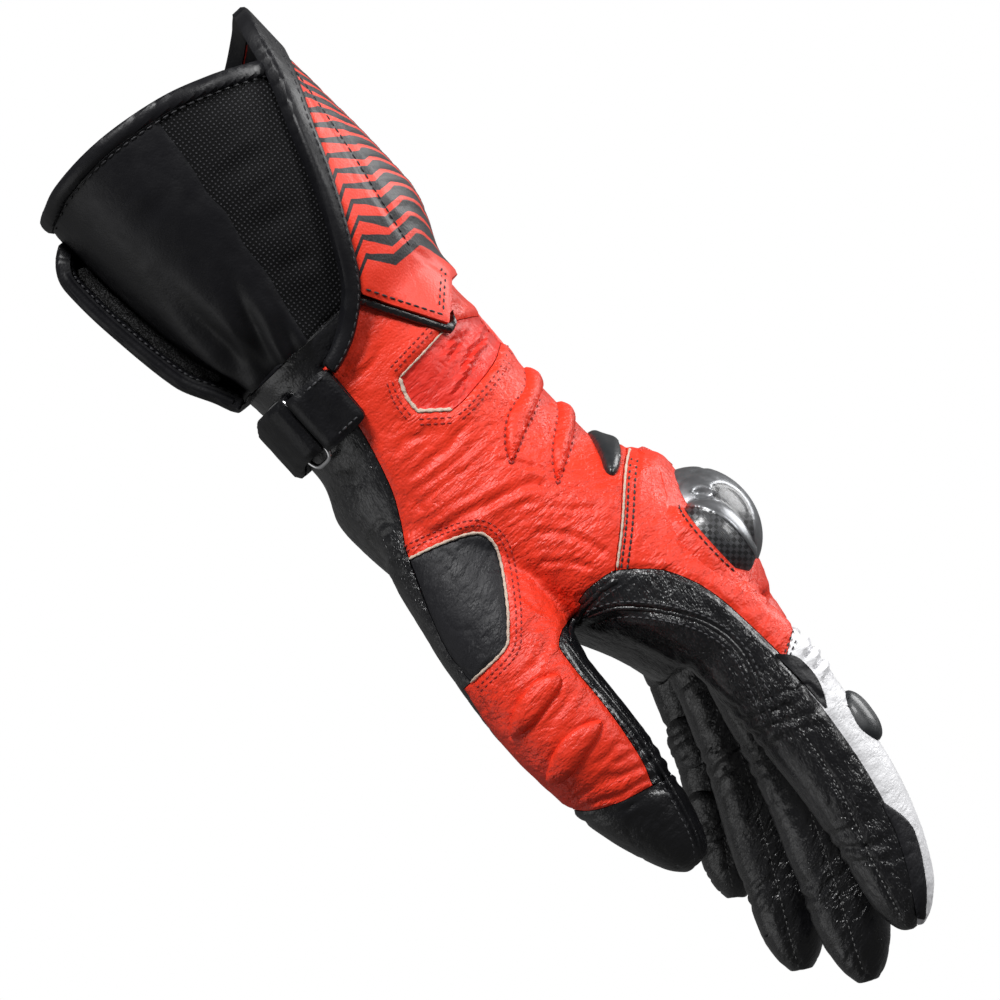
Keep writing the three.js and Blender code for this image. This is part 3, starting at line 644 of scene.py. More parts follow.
def spread(tree, value, low, high, to_low=0.0, to_high=1.0):
    node = tree.nodes.new("ShaderNodeMapRange")
    for i, number in enumerate((low, high, to_low, to_high)):
        node.inputs[i + 1].default_value = number
    tree.links.new(value, node.inputs[0])
    return node.outputs[0]


def mixed(tree, share, first, second):
    node = tree.nodes.new("ShaderNodeMix")
    node.data_type = "RGBA"
    colours = [s for s in node.inputs if s.type == "RGBA"]
    tree.links.new(share, node.inputs["Factor"])
    for socket, value in zip(colours, (first, second)):
        if isinstance(value, tuple):
            socket.default_value = (*value, 1)
        else:
            tree.links.new(value, socket)
    return next(s for s in node.outputs if s.type == "RGBA")


def darker(colour, share):
    return tuple(c * share for c in colour)


def bumped(tree, shader, heights):
    """Chains bumps of (height, strength, millimetres)"""
    normal = None
    for height, strength, far in heights:
        bump = tree.nodes.new("ShaderNodeBump")
        bump.inputs["Strength"].default_value = strength
        bump.inputs["Distance"].default_value = far * MM
        tree.links.new(height, bump.inputs["Height"])
        if normal is not None:
            tree.links.new(normal, bump.inputs["Normal"])
        normal = bump.outputs["Normal"]
    tree.links.new(normal, shader.inputs["Normal"])


def leather(name, colour, roughness, grain=0.35, crease=0.5, along=(1, 1, 0.3), shade=0.35, shine=0.4,
            fold=1.0, turn=0.0, calm=None, gloss=0.0):
    """Grained leather whose soft wrinkles run one way; shade darkens the colour in the deepest crease lines,
    as painted shade

    Calm gives two places along X: before the first there is hardly a wrinkle."""
    made, tree, shader = material(name, colour, roughness)
    shader.inputs["Specular IOR Level"].default_value = shine
    shader.inputs["Coat Weight"].default_value = gloss
    shader.inputs["Coat Roughness"].default_value = 0.22
    plain = place(tree)
    way = place(tree, along, (0, turn, 0))
    pebbles = spread(tree, cells(tree, plain, 1150), 0.05, 0.6)
    pores = noise(tree, plain, 2600, 2)
    patches = spread(tree, noise(tree, plain, 48, 2), 0.34, 0.62, 0.25, 1.0)
    folds = spread(tree, noise(tree, way, 235 * fold, 3, 0.55), 0.36, 0.62)
    lines = noise(tree, way, 520 * fold, 2, 0.55)
    thin = spread(tree, maths(tree, "ABSOLUTE", maths(tree, "SUBTRACT", lines, 0.5)), 0.0, 0.075)
    deep = maths(tree, "MULTIPLY", maths(tree, "SUBTRACT", 1.0, thin), patches)
    wrinkles = maths(tree, "MULTIPLY", folds, patches)
    if calm:
        lively = spread(tree, axes(tree)[0], *calm, 0.12, 1.0)
        deep = maths(tree, "MULTIPLY", deep, lively)
        wrinkles = maths(tree, "MULTIPLY", wrinkles, lively)
    cracks = maths(tree, "SUBTRACT", 1.0, deep)
    blotch = spread(tree, noise(tree, plain, 38, 3), 0.3, 0.7)
    tint = mixed(tree, blotch, darker(colour, 0.88), colour)
    # painted shade: the deepest crease lines are mixed towards a darker copy of the leather's colour
    painted_crease_shade = mixed(tree, maths(tree, "MULTIPLY", deep, shade), tint, darker(colour, 0.55))
    tree.links.new(painted_crease_shade, shader.inputs["Base Color"])
    rough = spread(tree, noise(tree, plain, 210, 3), 0.3, 0.7, roughness - 0.05, roughness + 0.08)
    tree.links.new(rough, shader.inputs["Roughness"])
    heights = [(wrinkles, crease, 0.75), (cracks, crease * 0.5, 0.28), (pebbles, grain, 0.15),
        (pores, grain * 0.5, 0.04)]
    bumped(tree, shader, heights)
    return made


RED = (0.83, 0.036, 0.011)
BLACK = (0.0048, 0.0048, 0.0062)
red_leather = leather("red_leather", RED, 0.46, 0.42, 0.75, (1, 1, 0.3), 0.5)
# painted shade: the window's red leather is a darker red than the rest, standing for the shade in its recess
window_leather_painted_shade = leather("window_leather_painted_shade", (0.70, 0.022, 0.010), 0.48, 0.2, 0.5)
black_leather = leather("black_leather", BLACK, 0.33, 0.5, 0.4, (1, 1, 0.4), 0.3, 0.5, 1.5, gloss=0.3)
palm_leather = leather("palm_leather", BLACK, 0.30, 0.5, 1.0, (0.34, 1, 1), 0.3, 0.5, 1.3, -0.26, (-24, -10),
    0.45)
tip_leather = leather("tip_leather", BLACK, 0.33, 0.34, 0.3, (1, 1, 0.5), 0.2, 0.5, 1.5, gloss=0.35)
finger_leather = leather("finger_leather", BLACK, 0.30, 0.4, 1.0, (1, 0.4, 0.4), 0.3, 0.5, 1.3, 0.3, None,
    0.45)
cuff_leather = leather("cuff_leather", (0.0062, 0.0062, 0.0078), 0.42, 0.16, 0.1, (1, 1, 1), 0.2, 0.3)
patch_leather = leather("patch_leather", (0.0105, 0.0105, 0.0128), 0.52, 0.2, 0.4, (1, 1, 0.35), 0.2, 0.3,
    1.6, 0.5)
white_leather = leather("white_leather", (0.80, 0.80, 0.82), 0.45, 0.3, 0.4, (1, 0.5, 0.5), 0.1, 0.4)


def plain_thread(name, colour):
    made, tree, shader = material(name, colour, 0.62)
    twist = noise(tree, place(tree), 3200, 2)
    tree.links.new(mixed(tree, twist, darker(colour, 0.7), colour), shader.inputs["Base Color"])
    bumped(tree, shader, [(twist, 0.5, 0.1)])
    return made


# real red thread, darkened well below the leather's red as painted shade of the stitch holes around the pads
red_thread_painted_shade = plain_thread("red_thread_painted_shade", (0.33, 0.012, 0.008))
black_thread = plain_thread("black_thread", (0.016, 0.016, 0.019))
white_thread = plain_thread("white_thread", (0.17, 0.17, 0.17))
# black thread lightened to grey: painted highlight of its glossy sheen
black_thread_painted_sheen = plain_thread("black_thread_painted_sheen", (0.045, 0.045, 0.05))
raw_edge = leather("raw_edge", (0.60, 0.47, 0.38), 0.85, 0.6, 0.5, (1, 1, 1), 0.3)


def hard(name, colour, roughness, metallic=0.0, coat=0.0, scuff=0.1):
    made, tree, shader = material(name, colour, roughness, metallic)
    shader.inputs["Coat Weight"].default_value = coat
    shader.inputs["Coat Roughness"].default_value = 0.06
    wear = noise(tree, place(tree), 420, 4)
    tree.links.new(spread(tree, wear, 0.3, 0.75, roughness, roughness + scuff), shader.inputs["Roughness"])
    tree.links.new(mixed(tree, spread(tree, wear, 0.35, 0.7), darker(colour, 0.85), colour),
        shader.inputs["Base Color"])
    bumped(tree, shader, [(wear, 0.06, 0.1)])
    return made


rubber = hard("rubber", (0.016, 0.018, 0.020), 0.36, 0, 0.2)
wire = hard("wire", (0.72, 0.72, 0.73), 0.16, 1.0)
guard_metal = hard("guard_metal", (0.24, 0.245, 0.255), 0.34, 0.8, 0.15, 0.1)


def carbon_fibre():
    made, tree, shader = material("carbon_fibre", (0.02, 0.02, 0.022), 0.38)
    shader.inputs["Coat Weight"].default_value = 0.3
    shader.inputs["Coat Roughness"].default_value = 0.12
    x, _, z = axes(tree)
    tow = 1.2
    a = maths(tree, "FLOOR", maths(tree, "DIVIDE", x, tow))
    b = maths(tree, "FLOOR", maths(tree, "DIVIDE", z, tow))
    phase = maths(tree, "FLOORED_MODULO", maths(tree, "ADD", a, b), 2.0)
    strands = maths(tree, "SINE", maths(tree, "MULTIPLY", x, 14.0))
    cross = maths(tree, "SINE", maths(tree, "MULTIPLY", z, 14.0))
    weave = maths(tree, "ADD", maths(tree, "MULTIPLY", phase, strands),
                  maths(tree, "MULTIPLY", maths(tree, "SUBTRACT", 1.0, phase), cross))
    tint = mixed(tree, phase, (0.009, 0.009, 0.010), (0.040, 0.041, 0.045))
    tree.links.new(tint, shader.inputs["Base Color"])
    bumped(tree, shader, [(spread(tree, weave, -1, 1), 0.3, 0.12)])
    return made


def mesh_fabric():
    """Black ribbed mesh: a slanted lattice of small raised dots"""
    made, tree, shader = material("mesh_fabric", (0.01, 0.01, 0.011), 0.8)
    shader.inputs["Specular IOR Level"].default_value = 0.15
    x, _, z = axes(tree, (0, 0.18, 0))
    pitch = ROUND / 2.3
    first = maths(tree, "SINE", maths(tree, "MULTIPLY", maths(tree, "ADD", x, z), pitch))
    second = maths(tree, "SINE", maths(tree, "MULTIPLY", maths(tree, "SUBTRACT", x, z), pitch))
    dots = spread(tree, maths(tree, "MULTIPLY", first, second), 0.25, 0.8)
    fuzz = noise(tree, place(tree), 1800, 2)
    # painted highlight: the raised dots are given a lighter colour as glints on the black mesh
    glint = maths(tree, "MULTIPLY", dots, spread(tree, fuzz, 0.3, 0.7, 0.4, 1.0))
    tree.links.new(mixed(tree, glint, (0.0018, 0.0018, 0.0022), (0.055, 0.055, 0.06)),
        shader.inputs["Base Color"])
    bumped(tree, shader, [(dots, 0.9, 0.35), (fuzz, 0.3, 0.1)])
    return made


def hook_fabric():
    made, tree, shader = material("hook_fabric", (0.008, 0.008, 0.009), 0.95)
    fuzz = noise(tree, place(tree), 2200, 4, 0.7)
    shown = mixed(tree, spread(tree, fuzz, 0.47, 0.66), (0.006, 0.006, 0.006), (0.16, 0.16, 0.165))
    tree.links.new(shown, shader.inputs["Base Color"])
    bumped(tree, shader, [(fuzz, 1.0, 0.6)])
    return made


def striped_leather():
    """Red and black chevrons that narrow towards the top of the cuff, then plain red"""
    made, tree, shader = material("striped_leather", RED, 0.48)
    x, y, z = axes(tree)
    out = maths(tree, "ABSOLUTE", y)
    valley = maths(tree, "ADD", maths(tree, "MULTIPLY", x, -0.26), 12.76)
    past = maths(tree, "MAXIMUM", maths(tree, "ADD", x, 46.7), 0.0)
    valley = maths(tree, "SUBTRACT", valley, maths(tree, "MULTIPLY", past, 0.32))
    above = maths(tree, "SUBTRACT", z, valley)
    rising = maths(tree, "MINIMUM", maths(tree, "MAXIMUM", above, 0.0), 8.5)
    falling = maths(tree, "MINIMUM", above, 0.0)
    phase = maths(tree, "ADD", x, maths(tree, "MULTIPLY", rising, -0.765))
    phase = maths(tree, "ADD", phase, maths(tree, "MULTIPLY", falling, 0.75))
    phase = maths(tree, "ADD", phase, maths(tree, "MULTIPLY", maths(tree, "MINIMUM", out, 27.0), 0.45))
    wobble = maths(tree, "MULTIPLY", maths(tree, "SUBTRACT", noise(tree, place(tree), 260, 2), 0.5), 0.4)
    turn = maths(tree, "FRACT", maths(tree, "DIVIDE", maths(tree, "ADD", phase, wobble), 4.6))
    share = spread(tree, above, 1.0, 9.0, 0.68, 0.36)
    share = maths(tree, "MULTIPLY", share, spread(tree, out, 24.0, 30.0, 0.7, 1.0))
    share = maths(tree, "MULTIPLY", share, spread(tree, out, 4.0, 20.0, 0.5, 1.0))
    band = spread(tree, maths(tree, "SUBTRACT", share, turn), -0.02, 0.02)
    painted = maths(tree, "MAXIMUM", band, spread(tree, phase, -22.9, -22.7))
    grain = noise(tree, place(tree), 1500, 3)
    blotch = spread(tree, noise(tree, place(tree), 38, 3), 0.3, 0.7)
    red = mixed(tree, blotch, darker(RED, 0.88), RED)
    tree.links.new(mixed(tree, painted, (0.016, 0.016, 0.018), red), shader.inputs["Base Color"])
    bumped(tree, shader, [(cells(tree, place(tree), 1500), 0.25, 0.25), (grain, 0.2, 0.12)])
    return made


carbon = carbon_fibre()
mesh_cloth = mesh_fabric()
hooks = hook_fabric()
stripes = striped_leather()

# Pieces, and lines laid on them


def piece(name, shape, finish, slot, *nodes, sharp=38):
    obj = to_object(name, shape)
    mesh = obj.data
    mesh.polygons.foreach_set("use_smooth", np.ones(len(mesh.polygons), bool))
    mesh.set_sharp_from_angle(angle=math.radians(sharp))
    mesh.materials.append(finish)
    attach(obj, "root")
    if nodes:
        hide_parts(*nodes)
    return obj


def panel(name, shape, finish, slot, *nodes, roll=0.55, width=1.5, depth=LEATHER):
    """A leather panel whose edges turn in towards its seams"""
    near_edge = 1 - smoothstep(0, width, shape.edge_distance())
    return piece(name, thickened(shape.moved(-roll * near_edge), depth), finish, slot, *nodes)


def cushion(shape, height, width, lift=0.0, sink=0.6):
    """A padded piece that swells from its edges"""
    t = np.clip(shape.edge_distance() / width, 0, 1)
    swell = lift + height * np.sqrt(np.clip(1 - (1 - t) ** 2, 0, 1))
    puffed = shape.moved(swell)
    back = shape.points - shape.normals() * sink
    both = thickened(puffed, 1.0)
    both.points[len(shape.points):] = back
    return both


def surface_of(shape):
    return BVHTree.FromPolygons([tuple(p) for p in shape.points], [tuple(f) for f in shape.faces])


def on_surface(tree, line, from_y=-FAR):
    """Points and normals where a line drawn in the side view meets a surface"""
    spots, normals = [], []
    way = Vector((0, 1 if from_y < 0 else -1, 0))
    for x, z in line:
        hit, normal, _, _ = tree.ray_cast(Vector((x, from_y, z)), way)
        if hit is None and spots:
            hit, normal, _, _ = tree.find_nearest(Vector((x, spots[-1][1], z)))
        if hit is not None:
            if normal.dot(way) > 0:
                normal = -normal
            spots.append(np.array(hit))
            normals.append(np.array(normal))
    return np.array(spots).reshape(-1, 3), np.array(normals).reshape(-1, 3)


def even(line, pitch):
    """Points at equal distances along a flat or solid line"""
    steps = np.linalg.norm(np.diff(line, axis=0), axis=1)
    at = np.concatenate([[0], np.cumsum(steps)])
    count = max(2, int(round(at[-1] / pitch)) + 1)
    wanted = np.linspace(0, at[-1], count)
    return np.stack([np.interp(wanted, at, line[:, i]) for i in range(line.shape[1])], 1)


def shifted(line, by):
    """A flat line moved to its left"""
    way = unit(np.gradient(line, axis=0))
    return line + np.stack([-way[:, 1], way[:, 0]], 1) * by


def stretch(outline, first, last):
    """The part of an outline between two of its table's points"""
    return outline[first * PIECES : last * PIECES + 1]


def ringed(outline):
    """An outline that ends where it begins"""
    return np.concatenate([outline, outline[:1]])


def pill(sides=6, rows=5):
    """A stitch of unit length and radius along X"""
    t = np.linspace(-1, 1, rows)
    ring = circle(sides)
    size = np.sqrt(np.clip(1 - t**4, 0.05, 1))
    rings = np.stack([np.repeat(t[:, None] / 2, sides, 1), size[:, None] * np.cos(ring)[None],
        size[:, None] * np.sin(ring)[None]], -1)
    return grid(rings, True)


STITCH = pill()


def stitch_row(tree, line, pitch, long, thick, sink=0.05, from_y=-FAR):
    """Stitches along a line drawn in the side view, laid on a surface"""
    spots, normals = on_surface(tree, even(line, pitch), from_y)
    return stitches_at(spots, normals, long, thick, sink)


def stitches_at(spots, normals, long, thick, sink):
    parts = []
    for i in range(len(spots) - 1):
        a, b = spots[i], spots[i + 1]
        gap = np.linalg.norm(b - a)
        if gap > 6 or gap < 1e-6:
            continue
        way = (b - a) / gap
        up = normals[i] + normals[i + 1]
        up -= way * (up @ way)
        up /= max(1e-9, np.linalg.norm(up))
        across = np.cross(up, way)
        p = STITCH.points
        middle = (a + b) / 2 + up * (thick * 0.35 - sink)
        parts.append(middle + p[:, :1] * way * min(long, gap * 0.86) + p[:, 1:2] * across * thick
            + p[:, 2:] * up * thick)
    return parts


def threads(name, rows, finish, slot):
    parts = [p for row in rows for p in row]
    count = len(STITCH.points)
    faces = np.concatenate([STITCH.faces + i * count for i in range(len(parts))])
    return piece(name, Shape(np.concatenate(parts), faces), finish, slot, sharp=80)


def rope(spots, radius, sides, flat, normals):
    """A bead along a solid line, flattened onto a surface"""
    way = unit(np.gradient(spots, axis=0))
    up = unit(normals - way * (normals * way).sum(1)[:, None])
    across = np.cross(up, way)
    radius = np.broadcast_to(radius, len(spots)).copy()
    radius[[0, -1]] *= 0.35
    ring = circle(sides)
    rings = (spots[:, None] + radius[:, None, None] * np.cos(ring)[None, :, None] * across[:, None]
        + flat * radius[:, None, None] * np.sin(ring)[None, :, None] * up[:, None])
    return grid(rings, True)


# The hand's skin with its wrinkles, cut into panels

FOLDS = [
    # depth, width, side-view points
    (0.75, 1.3, [(33, -27), (33.5, -18), (35, -8), (38, 2), (40, 9), (45, 16)]),
    (0.5, 1.1, [(17, -16), (17.6, -6), (18, 2), (16, 9)]),
    (0.4, 1.0, [(25, -21), (24.5, -8), (26, 2)]),
    (0.45, 1.0, [(10, -13), (9, -7), (10.5, -3)]),
    (0.4, 1.0, [(-14, -10), (-13, -2), (-15.5, 6)]),
    (0.35, 0.9, [(-18, -9), (-17, -1), (-20, 5)]),
    (0.45, 1.0, [(50, 1), (57, 8), (66, 12), (71, 12)]),
    (0.35, 0.9, [(47, 8), (54, 15), (58, 20)]),
    (0.4, 0.9, [(58, -3), (64, 4), (70.5, 8)]),
    (0.45, 1.1, [(73.5, -12), (76.5, -17), (78.5, -25)]),
    (0.3, 0.8, [(41.5, -5), (42, 2), (46, 9)]),
    (0.35, 0.9, [(20.5, -17), (22, -6), (22.5, 5), (20, 12)]),
    (0.3, 0.8, [(28, 6), (36, 13), (44, 17)]),
    (0.35, 0.9, [(30, -19), (30.5, -10), (32, -2)]),
    (0.3, 0.8, [(90, -17), (92, -25), (93.5, -33)]),
    (0.3, 0.8, [(95, -18), (96, -24), (96.5, -30)]),
    (0.35, 0.9, [(109, -18), (110, -24), (109, -29)]),
    (0.3, 0.8, [(104, 30), (105.5, 34), (105, 39)]),
    (0.3, 0.8, [(111, 31), (110.5, 35), (108, 39)]),
    (0.5, 1.1, [(22, -25.5), (21.5, -29), (24, -34.5)]),
    (0.5, 1.1, [(25.2, -26), (24.8, -30), (27, -35)]),
    (0.5, 1.1, [(28.2, -27.5), (28, -31), (30, -35.5)]),
    (0.5, 1.3, [(79, -7), (84, 4), (90, 12), (99, 18)]),
    (0.5, 1.3, [(86, -4), (98, 2), (108, 6), (120, 9.5), (134, 11)]),
    (0.55, 1.4, [(120, -13.5), (134, -16), (146, -20.5)]),
]
PALM_SEAM = curve([(78.5, -3), (82, 5), (90, 13), (100, 19.6), (110, 22.2), (120, 20.5), (134, 15.5)])
WELT_SEAM = curve([(76, 10.5), (75.2, 5), (75.6, -1), (77, -7), (80, -10.6)])
THUMB_SEAM = curve([(79, -11.6), (90, -12.6), (110, -13.6), (130, -17), (143, -20.5), (149, -24.5)])
INDEX_SEAM = curve([(134, 20.6), (140, 20), (150, 18.8), (160, 16.8), (170, 13.8), (180, 10.6), (190, 7.8),
    (200, 5.4)])
KNUCKLE_SEAM = curve([(51, 38.5), (53, 35), (56.6, 30.6), (65.4, 21.6), (73.6, 12.2)])
INDEX_END = curve([(169.5, 23.6), (178, 25.2), (185, 23.2), (195, 17), (201.8, 10.6), (200, 9.2), (194, 12.8),
                   (187, 16.8), (178, 20.8), (172, 22.4)], True, (0, 4, 5))
INDEX_INSERT = curve([(119.6, 28.6), (123.6, 32.2), (127, 33.1), (132, 33.0), (137, 31.4), (141.4, 28.9),
    (130, 29.2)], True, (0, 5))


def finger_up(points, name):
    """Height above a finger's middle line, and half of its depth there"""
    path = finger_path(name)
    x, z, deep = path[:, 0], path[:, 2], path[:, 4]
    slope = np.arctan2(np.gradient(z), np.gradient(x))
    at = points[:, 0]
    rise = points[:, 2] - np.interp(at, x, z)
    return rise * np.cos(np.interp(at, x, slope)), np.maximum(np.interp(at, x, deep) / 2, 2.5)


def grooves(points, rows, chosen, ends=0.18):
    """How deep each point sinks in folds drawn in the side view"""
    flat = side_view(points)
    total = np.zeros(len(points))
    for depth, width, line in rows:
        line = curve(line) if len(line) < 12 else line
        box = (flat[:, 0] > line[:, 0].min() - 4) & (flat[:, 0] < line[:, 0].max() + 4) & chosen
        if not box.any():
            continue
        far, at = line_distance(flat[box], line)
        long = at / max(1e-9, at.max())
        fade = smoothstep(0, ends, long) * smoothstep(0, ends, 1 - long)
        ridge = bell(far, width) - 0.38 * bell(far - 2.1 * width, width)
        total[box] += depth * fade * ridge
    return total


def hand_skin():
    skin = hand_form()
    p = skin.points
    x, y, z = p.T
    near = y < -8
    up, half = finger_up(p, "index")
    on_index = (x > INDEX_FROM) & (y < -23)
    sink = grooves(p, FOLDS, near)
    sink += grooves(p, [(0.45, 0.8, line) for line in (PALM_SEAM, WELT_SEAM, THUMB_SEAM, INDEX_SEAM)], near)
    folded = [(0.4, 0.75, shifted(KNUCKLE_SEAM, 1.2)), (0.4, 0.75, shifted(KNUCKLE_SEAM, 2.9))]
    folded += [(0.3, 0.8, shifted(ringed(outline), 0.3)) for outline in THUMB_RIDGES]
    sink += grooves(p, folded, near, 0.03)
    sink += 0.35 * creases(p, 5.0, (1, 1, 2.6), 11) * (x < INDEX_FROM)
    sink += 0.22 * creases(p, 3.0, (1, 1, 2.2), 12) * (x < INDEX_FROM)
    dense = 0.35 + 0.65 * (bell(x - 137, 11) + bell(x - 182, 9))
    sink += on_index * dense * 0.7 * creases(p, 3.4, (1, 2.4, 1.2), 13)
    for at, depth in ((128, 0.4), (133, 0.6), (137.5, 0.7), (142, 0.5), (172, 0.45), (176.5, 0.7),
            (181, 0.5)):
        fold = bell(x - at - 0.35 * up - 1.6 * value_noise(p, 7, 19), 1.1)
        sink += on_index * depth * fold * smoothstep(0.42 * half, -0.1 * half, up)
    sink += 0.4 * value_noise(p, 16, 14) + 0.12 * value_noise(p, 6, 15)
    # the wrist's leather bags out a little between its seams
    window = inside(side_view(p), WINDOW)
    sink += np.where(y < 0, 0.9 * smoothstep(-0.4, 1.2, window), 0)
    sink -= np.where(y < 0, 0.5 * bell(-window - 3.0, 2.2) * (window < 0), 0)
    pleat = x + 0.2 * z + 0.8 * value_noise(p, 10, 16)
    pleats = 0.34 * np.cos(pleat / 3.6 * ROUND) + 0.3 * np.cos(pleat / 2.3 * ROUND + 0.2 * z)
    pleats = pleats * smoothstep(2, 12, z) * (0.7 + 0.5 * value_noise(p, 7, 18)) + 0.35 * creases(p, 5,
        (1, 1, 0.4), 17)
    sink += np.where((y < 0) & (window > 0.4), pleats * smoothstep(0.4, 3, window), 0)
    # accordion ribs on the back of the index finger, behind its hard slider
    rib = np.abs(np.sin((x - 121.3 - 0.36 * (37 - z)) / 4.05 * math.pi)) ** 0.7
    ribbed = smoothstep(120.6, 122.4, x) * smoothstep(135.6, 133.0, x) * smoothstep(0.34, 0.42,
        up / (2 * half))
    sink -= on_index * ribbed * (1.9 * rib - 0.5)
    return skin.moved(-sink)


skin = hand_skin()
SKIN_TREE = surface_of(skin)
p = skin.points
up, half = finger_up(p, "index")
web_line = np.where(p[:, 2] < -4, FAR, 118 + 0.62 * (38 - p[:, 2]) * (p[:, 2] > 27))
near_index = p[:, 1] < INDEX_SIDE
beyond = np.where(near_index, p[:, 0] - web_line, p[:, 0] - 117)
index_back = np.minimum(beyond, up - 0.44 * half)
index_back = np.where(near_index & (p[:, 0] > INDEX_FROM), index_back, -5)
stub_webs = np.interp(p[:, 1], [-24.4, -0.1, 0.1, 24.2, 24.4, 50], [117, 117, 114, 114, 108, 108])
kept = np.where(near_index, 5.0, stub_webs - p[:, 0])
fields = {
    "side_patch": region(p, (PATCH, -FAR, LOWER_SPLIT)),
    "wrist_window": region(p, (WINDOW, -FAR, 0)),
    "thumb_tip": region(p, (THUMB_TIP, -FAR, 0)),
}
taken = np.max(list(fields.values()), 0)
thumb_split = THUMB_SPLIT + 10 * smoothstep(92, 128, p[:, 0])
red = region(p, (UPPER_BACK, -FAR, 0), (LOWER_BACK, -FAR, LOWER_SPLIT), (THUMB_BACK, -FAR, thumb_split),
             (FAR_BACK, -1, FAR))
red = np.minimum.reduce([red, -taken, -index_back, np.where(near_index, web_line - p[:, 0], 5.0)])
behind_binding = p[:, 0] - np.interp(p[:, 2], [-12, -6, 1, 8.6, 14], [-21.0, -21.6, -24.8, -31, -40])
red = np.where(p[:, 1] < 0, np.minimum(red, behind_binding), red)
knuckle = region(p, (KNUCKLE, -FAR, FAR))
fields["knuckle_panel"] = np.minimum(red, knuckle)
fields["hand_back"] = np.minimum(red, -knuckle)
fields["palm"] = np.minimum.reduce([-red, -taken, -index_back])
fields["index_back"] = index_back
finishes = {
    "side_patch": (patch_leather, "cuff_leather", ["side_patch"]),
    "wrist_window": (window_leather_painted_shade, "red_leather", ["wrist_window"]),
    "thumb_tip": (tip_leather, "black_leather", ["thumb_tip"]),
    "knuckle_panel": (red_leather, "red_leather", ["knuckle_panel"]),
    "hand_back": (red_leather, "red_leather", ["hand_back"]),
    "palm": (palm_leather, "black_leather", ["palm", "index_palm"]),
    "index_back": (white_leather, "white_leather", ["index_back"]),
}
for name, field in fields.items():
    field = np.minimum.reduce([field - GAP, kept, p[:, 0] - SKIN_START])
    part = largest(clipped(skin, field))
    finish, slot, nodes = finishes[name]
    panel(f"{name}_leather", part, finish, slot, *nodes, roll=0.3 if name == "wrist_window" else 0.5)


# Fingers


def finger_wrinkles(p, name, seed):
    """How deep the leather of a bent finger sinks in its creases"""
    x = p[:, 0]
    length = FINGERS[name][0]
    along = (x - FINGERS[name][START]) / length
    dense = 0.35 + 0.65 * (bell(along - 0.38, 0.1) + bell(along - 0.78, 0.08))
    sink = dense * 0.7 * creases(p, 3.4, (1, 2.4, 1.2), seed)
    up, half = finger_up(p, name)
    wander = 0.012 * value_noise(p, 7, seed + 2) + 0.10 * up / length
    for share, depth in ((0.33, 0.5), (0.37, 0.7), (0.41, 0.45), (0.70, 0.4), (0.735, 0.65), (0.77, 0.5)):
        fold = bell((along - share - wander) * length, 1)
        sink += depth * fold * smoothstep(0.3 * half, -0.2 * half, up)
    return sink + 0.35 * value_noise(p, 14, seed + 1) + 0.15 * value_noise(p, 5, seed + 4)


def finger_tube(name, seed):
    path = finger_path(name)
    rings = tube_rings(path, sides=84)
    shape = grid(rings, True)
    tip = smoothstep(path[-1, 0] - 7, path[-1, 0] - 3, shape.points[:, 0])
    shape = relaxed(shape, 14, tip)
    up, half = finger_up(shape.points, name)
    p = shape.points
    web, middle = FINGERS[name][WEB], FINGERS[name][SIDE]
    sink = finger_wrinkles(p, name, seed)
    ribbed = smoothstep(web + 1, web + 2.4, p[:, 0]) * smoothstep(web + 15, web + 13, p[:, 0])
    ribbed = ribbed * smoothstep(0.18, 0.34, up / (2 * half))
    sink -= ribbed * (1.9 * np.abs(np.sin((p[:, 0] - web - 1.2) / 4.2 * math.pi)) - 0.5)
    side = np.abs(p[:, 1] - middle) > 6
    sink += 0.4 * bell(up + 0.18 * half, 0.8) * side
    return shape.moved(-sink), up, half


FINGER_TREES, TUBES = {}, {}
for seed, name in enumerate(("middle", "ring", "little")):
    shape, up, half = finger_tube(name, 30 + 3 * seed)
    FINGER_TREES[name] = surface_of(shape)
    TUBES[name] = shape
    beyond = shape.points[:, 0] - FINGERS[name][WEB] + 3.0
    last = finger_path(name)[-1, 0]
    split = up - 0.4 * half - 3 * half * smoothstep(last - 24, last - 7, shape.points[:, 0])
    back = largest(clipped(shape, np.minimum(beyond, split - GAP)))
    front = largest(clipped(shape, np.minimum(beyond, -split - GAP)))
    panel(f"{name}_back_leather", back, white_leather, "white_leather", f"{name}_back", roll=0.4)
    panel(f"{name}_palm_leather", front, finger_leather, "black_leather", f"{name}_palm", roll=0.4)

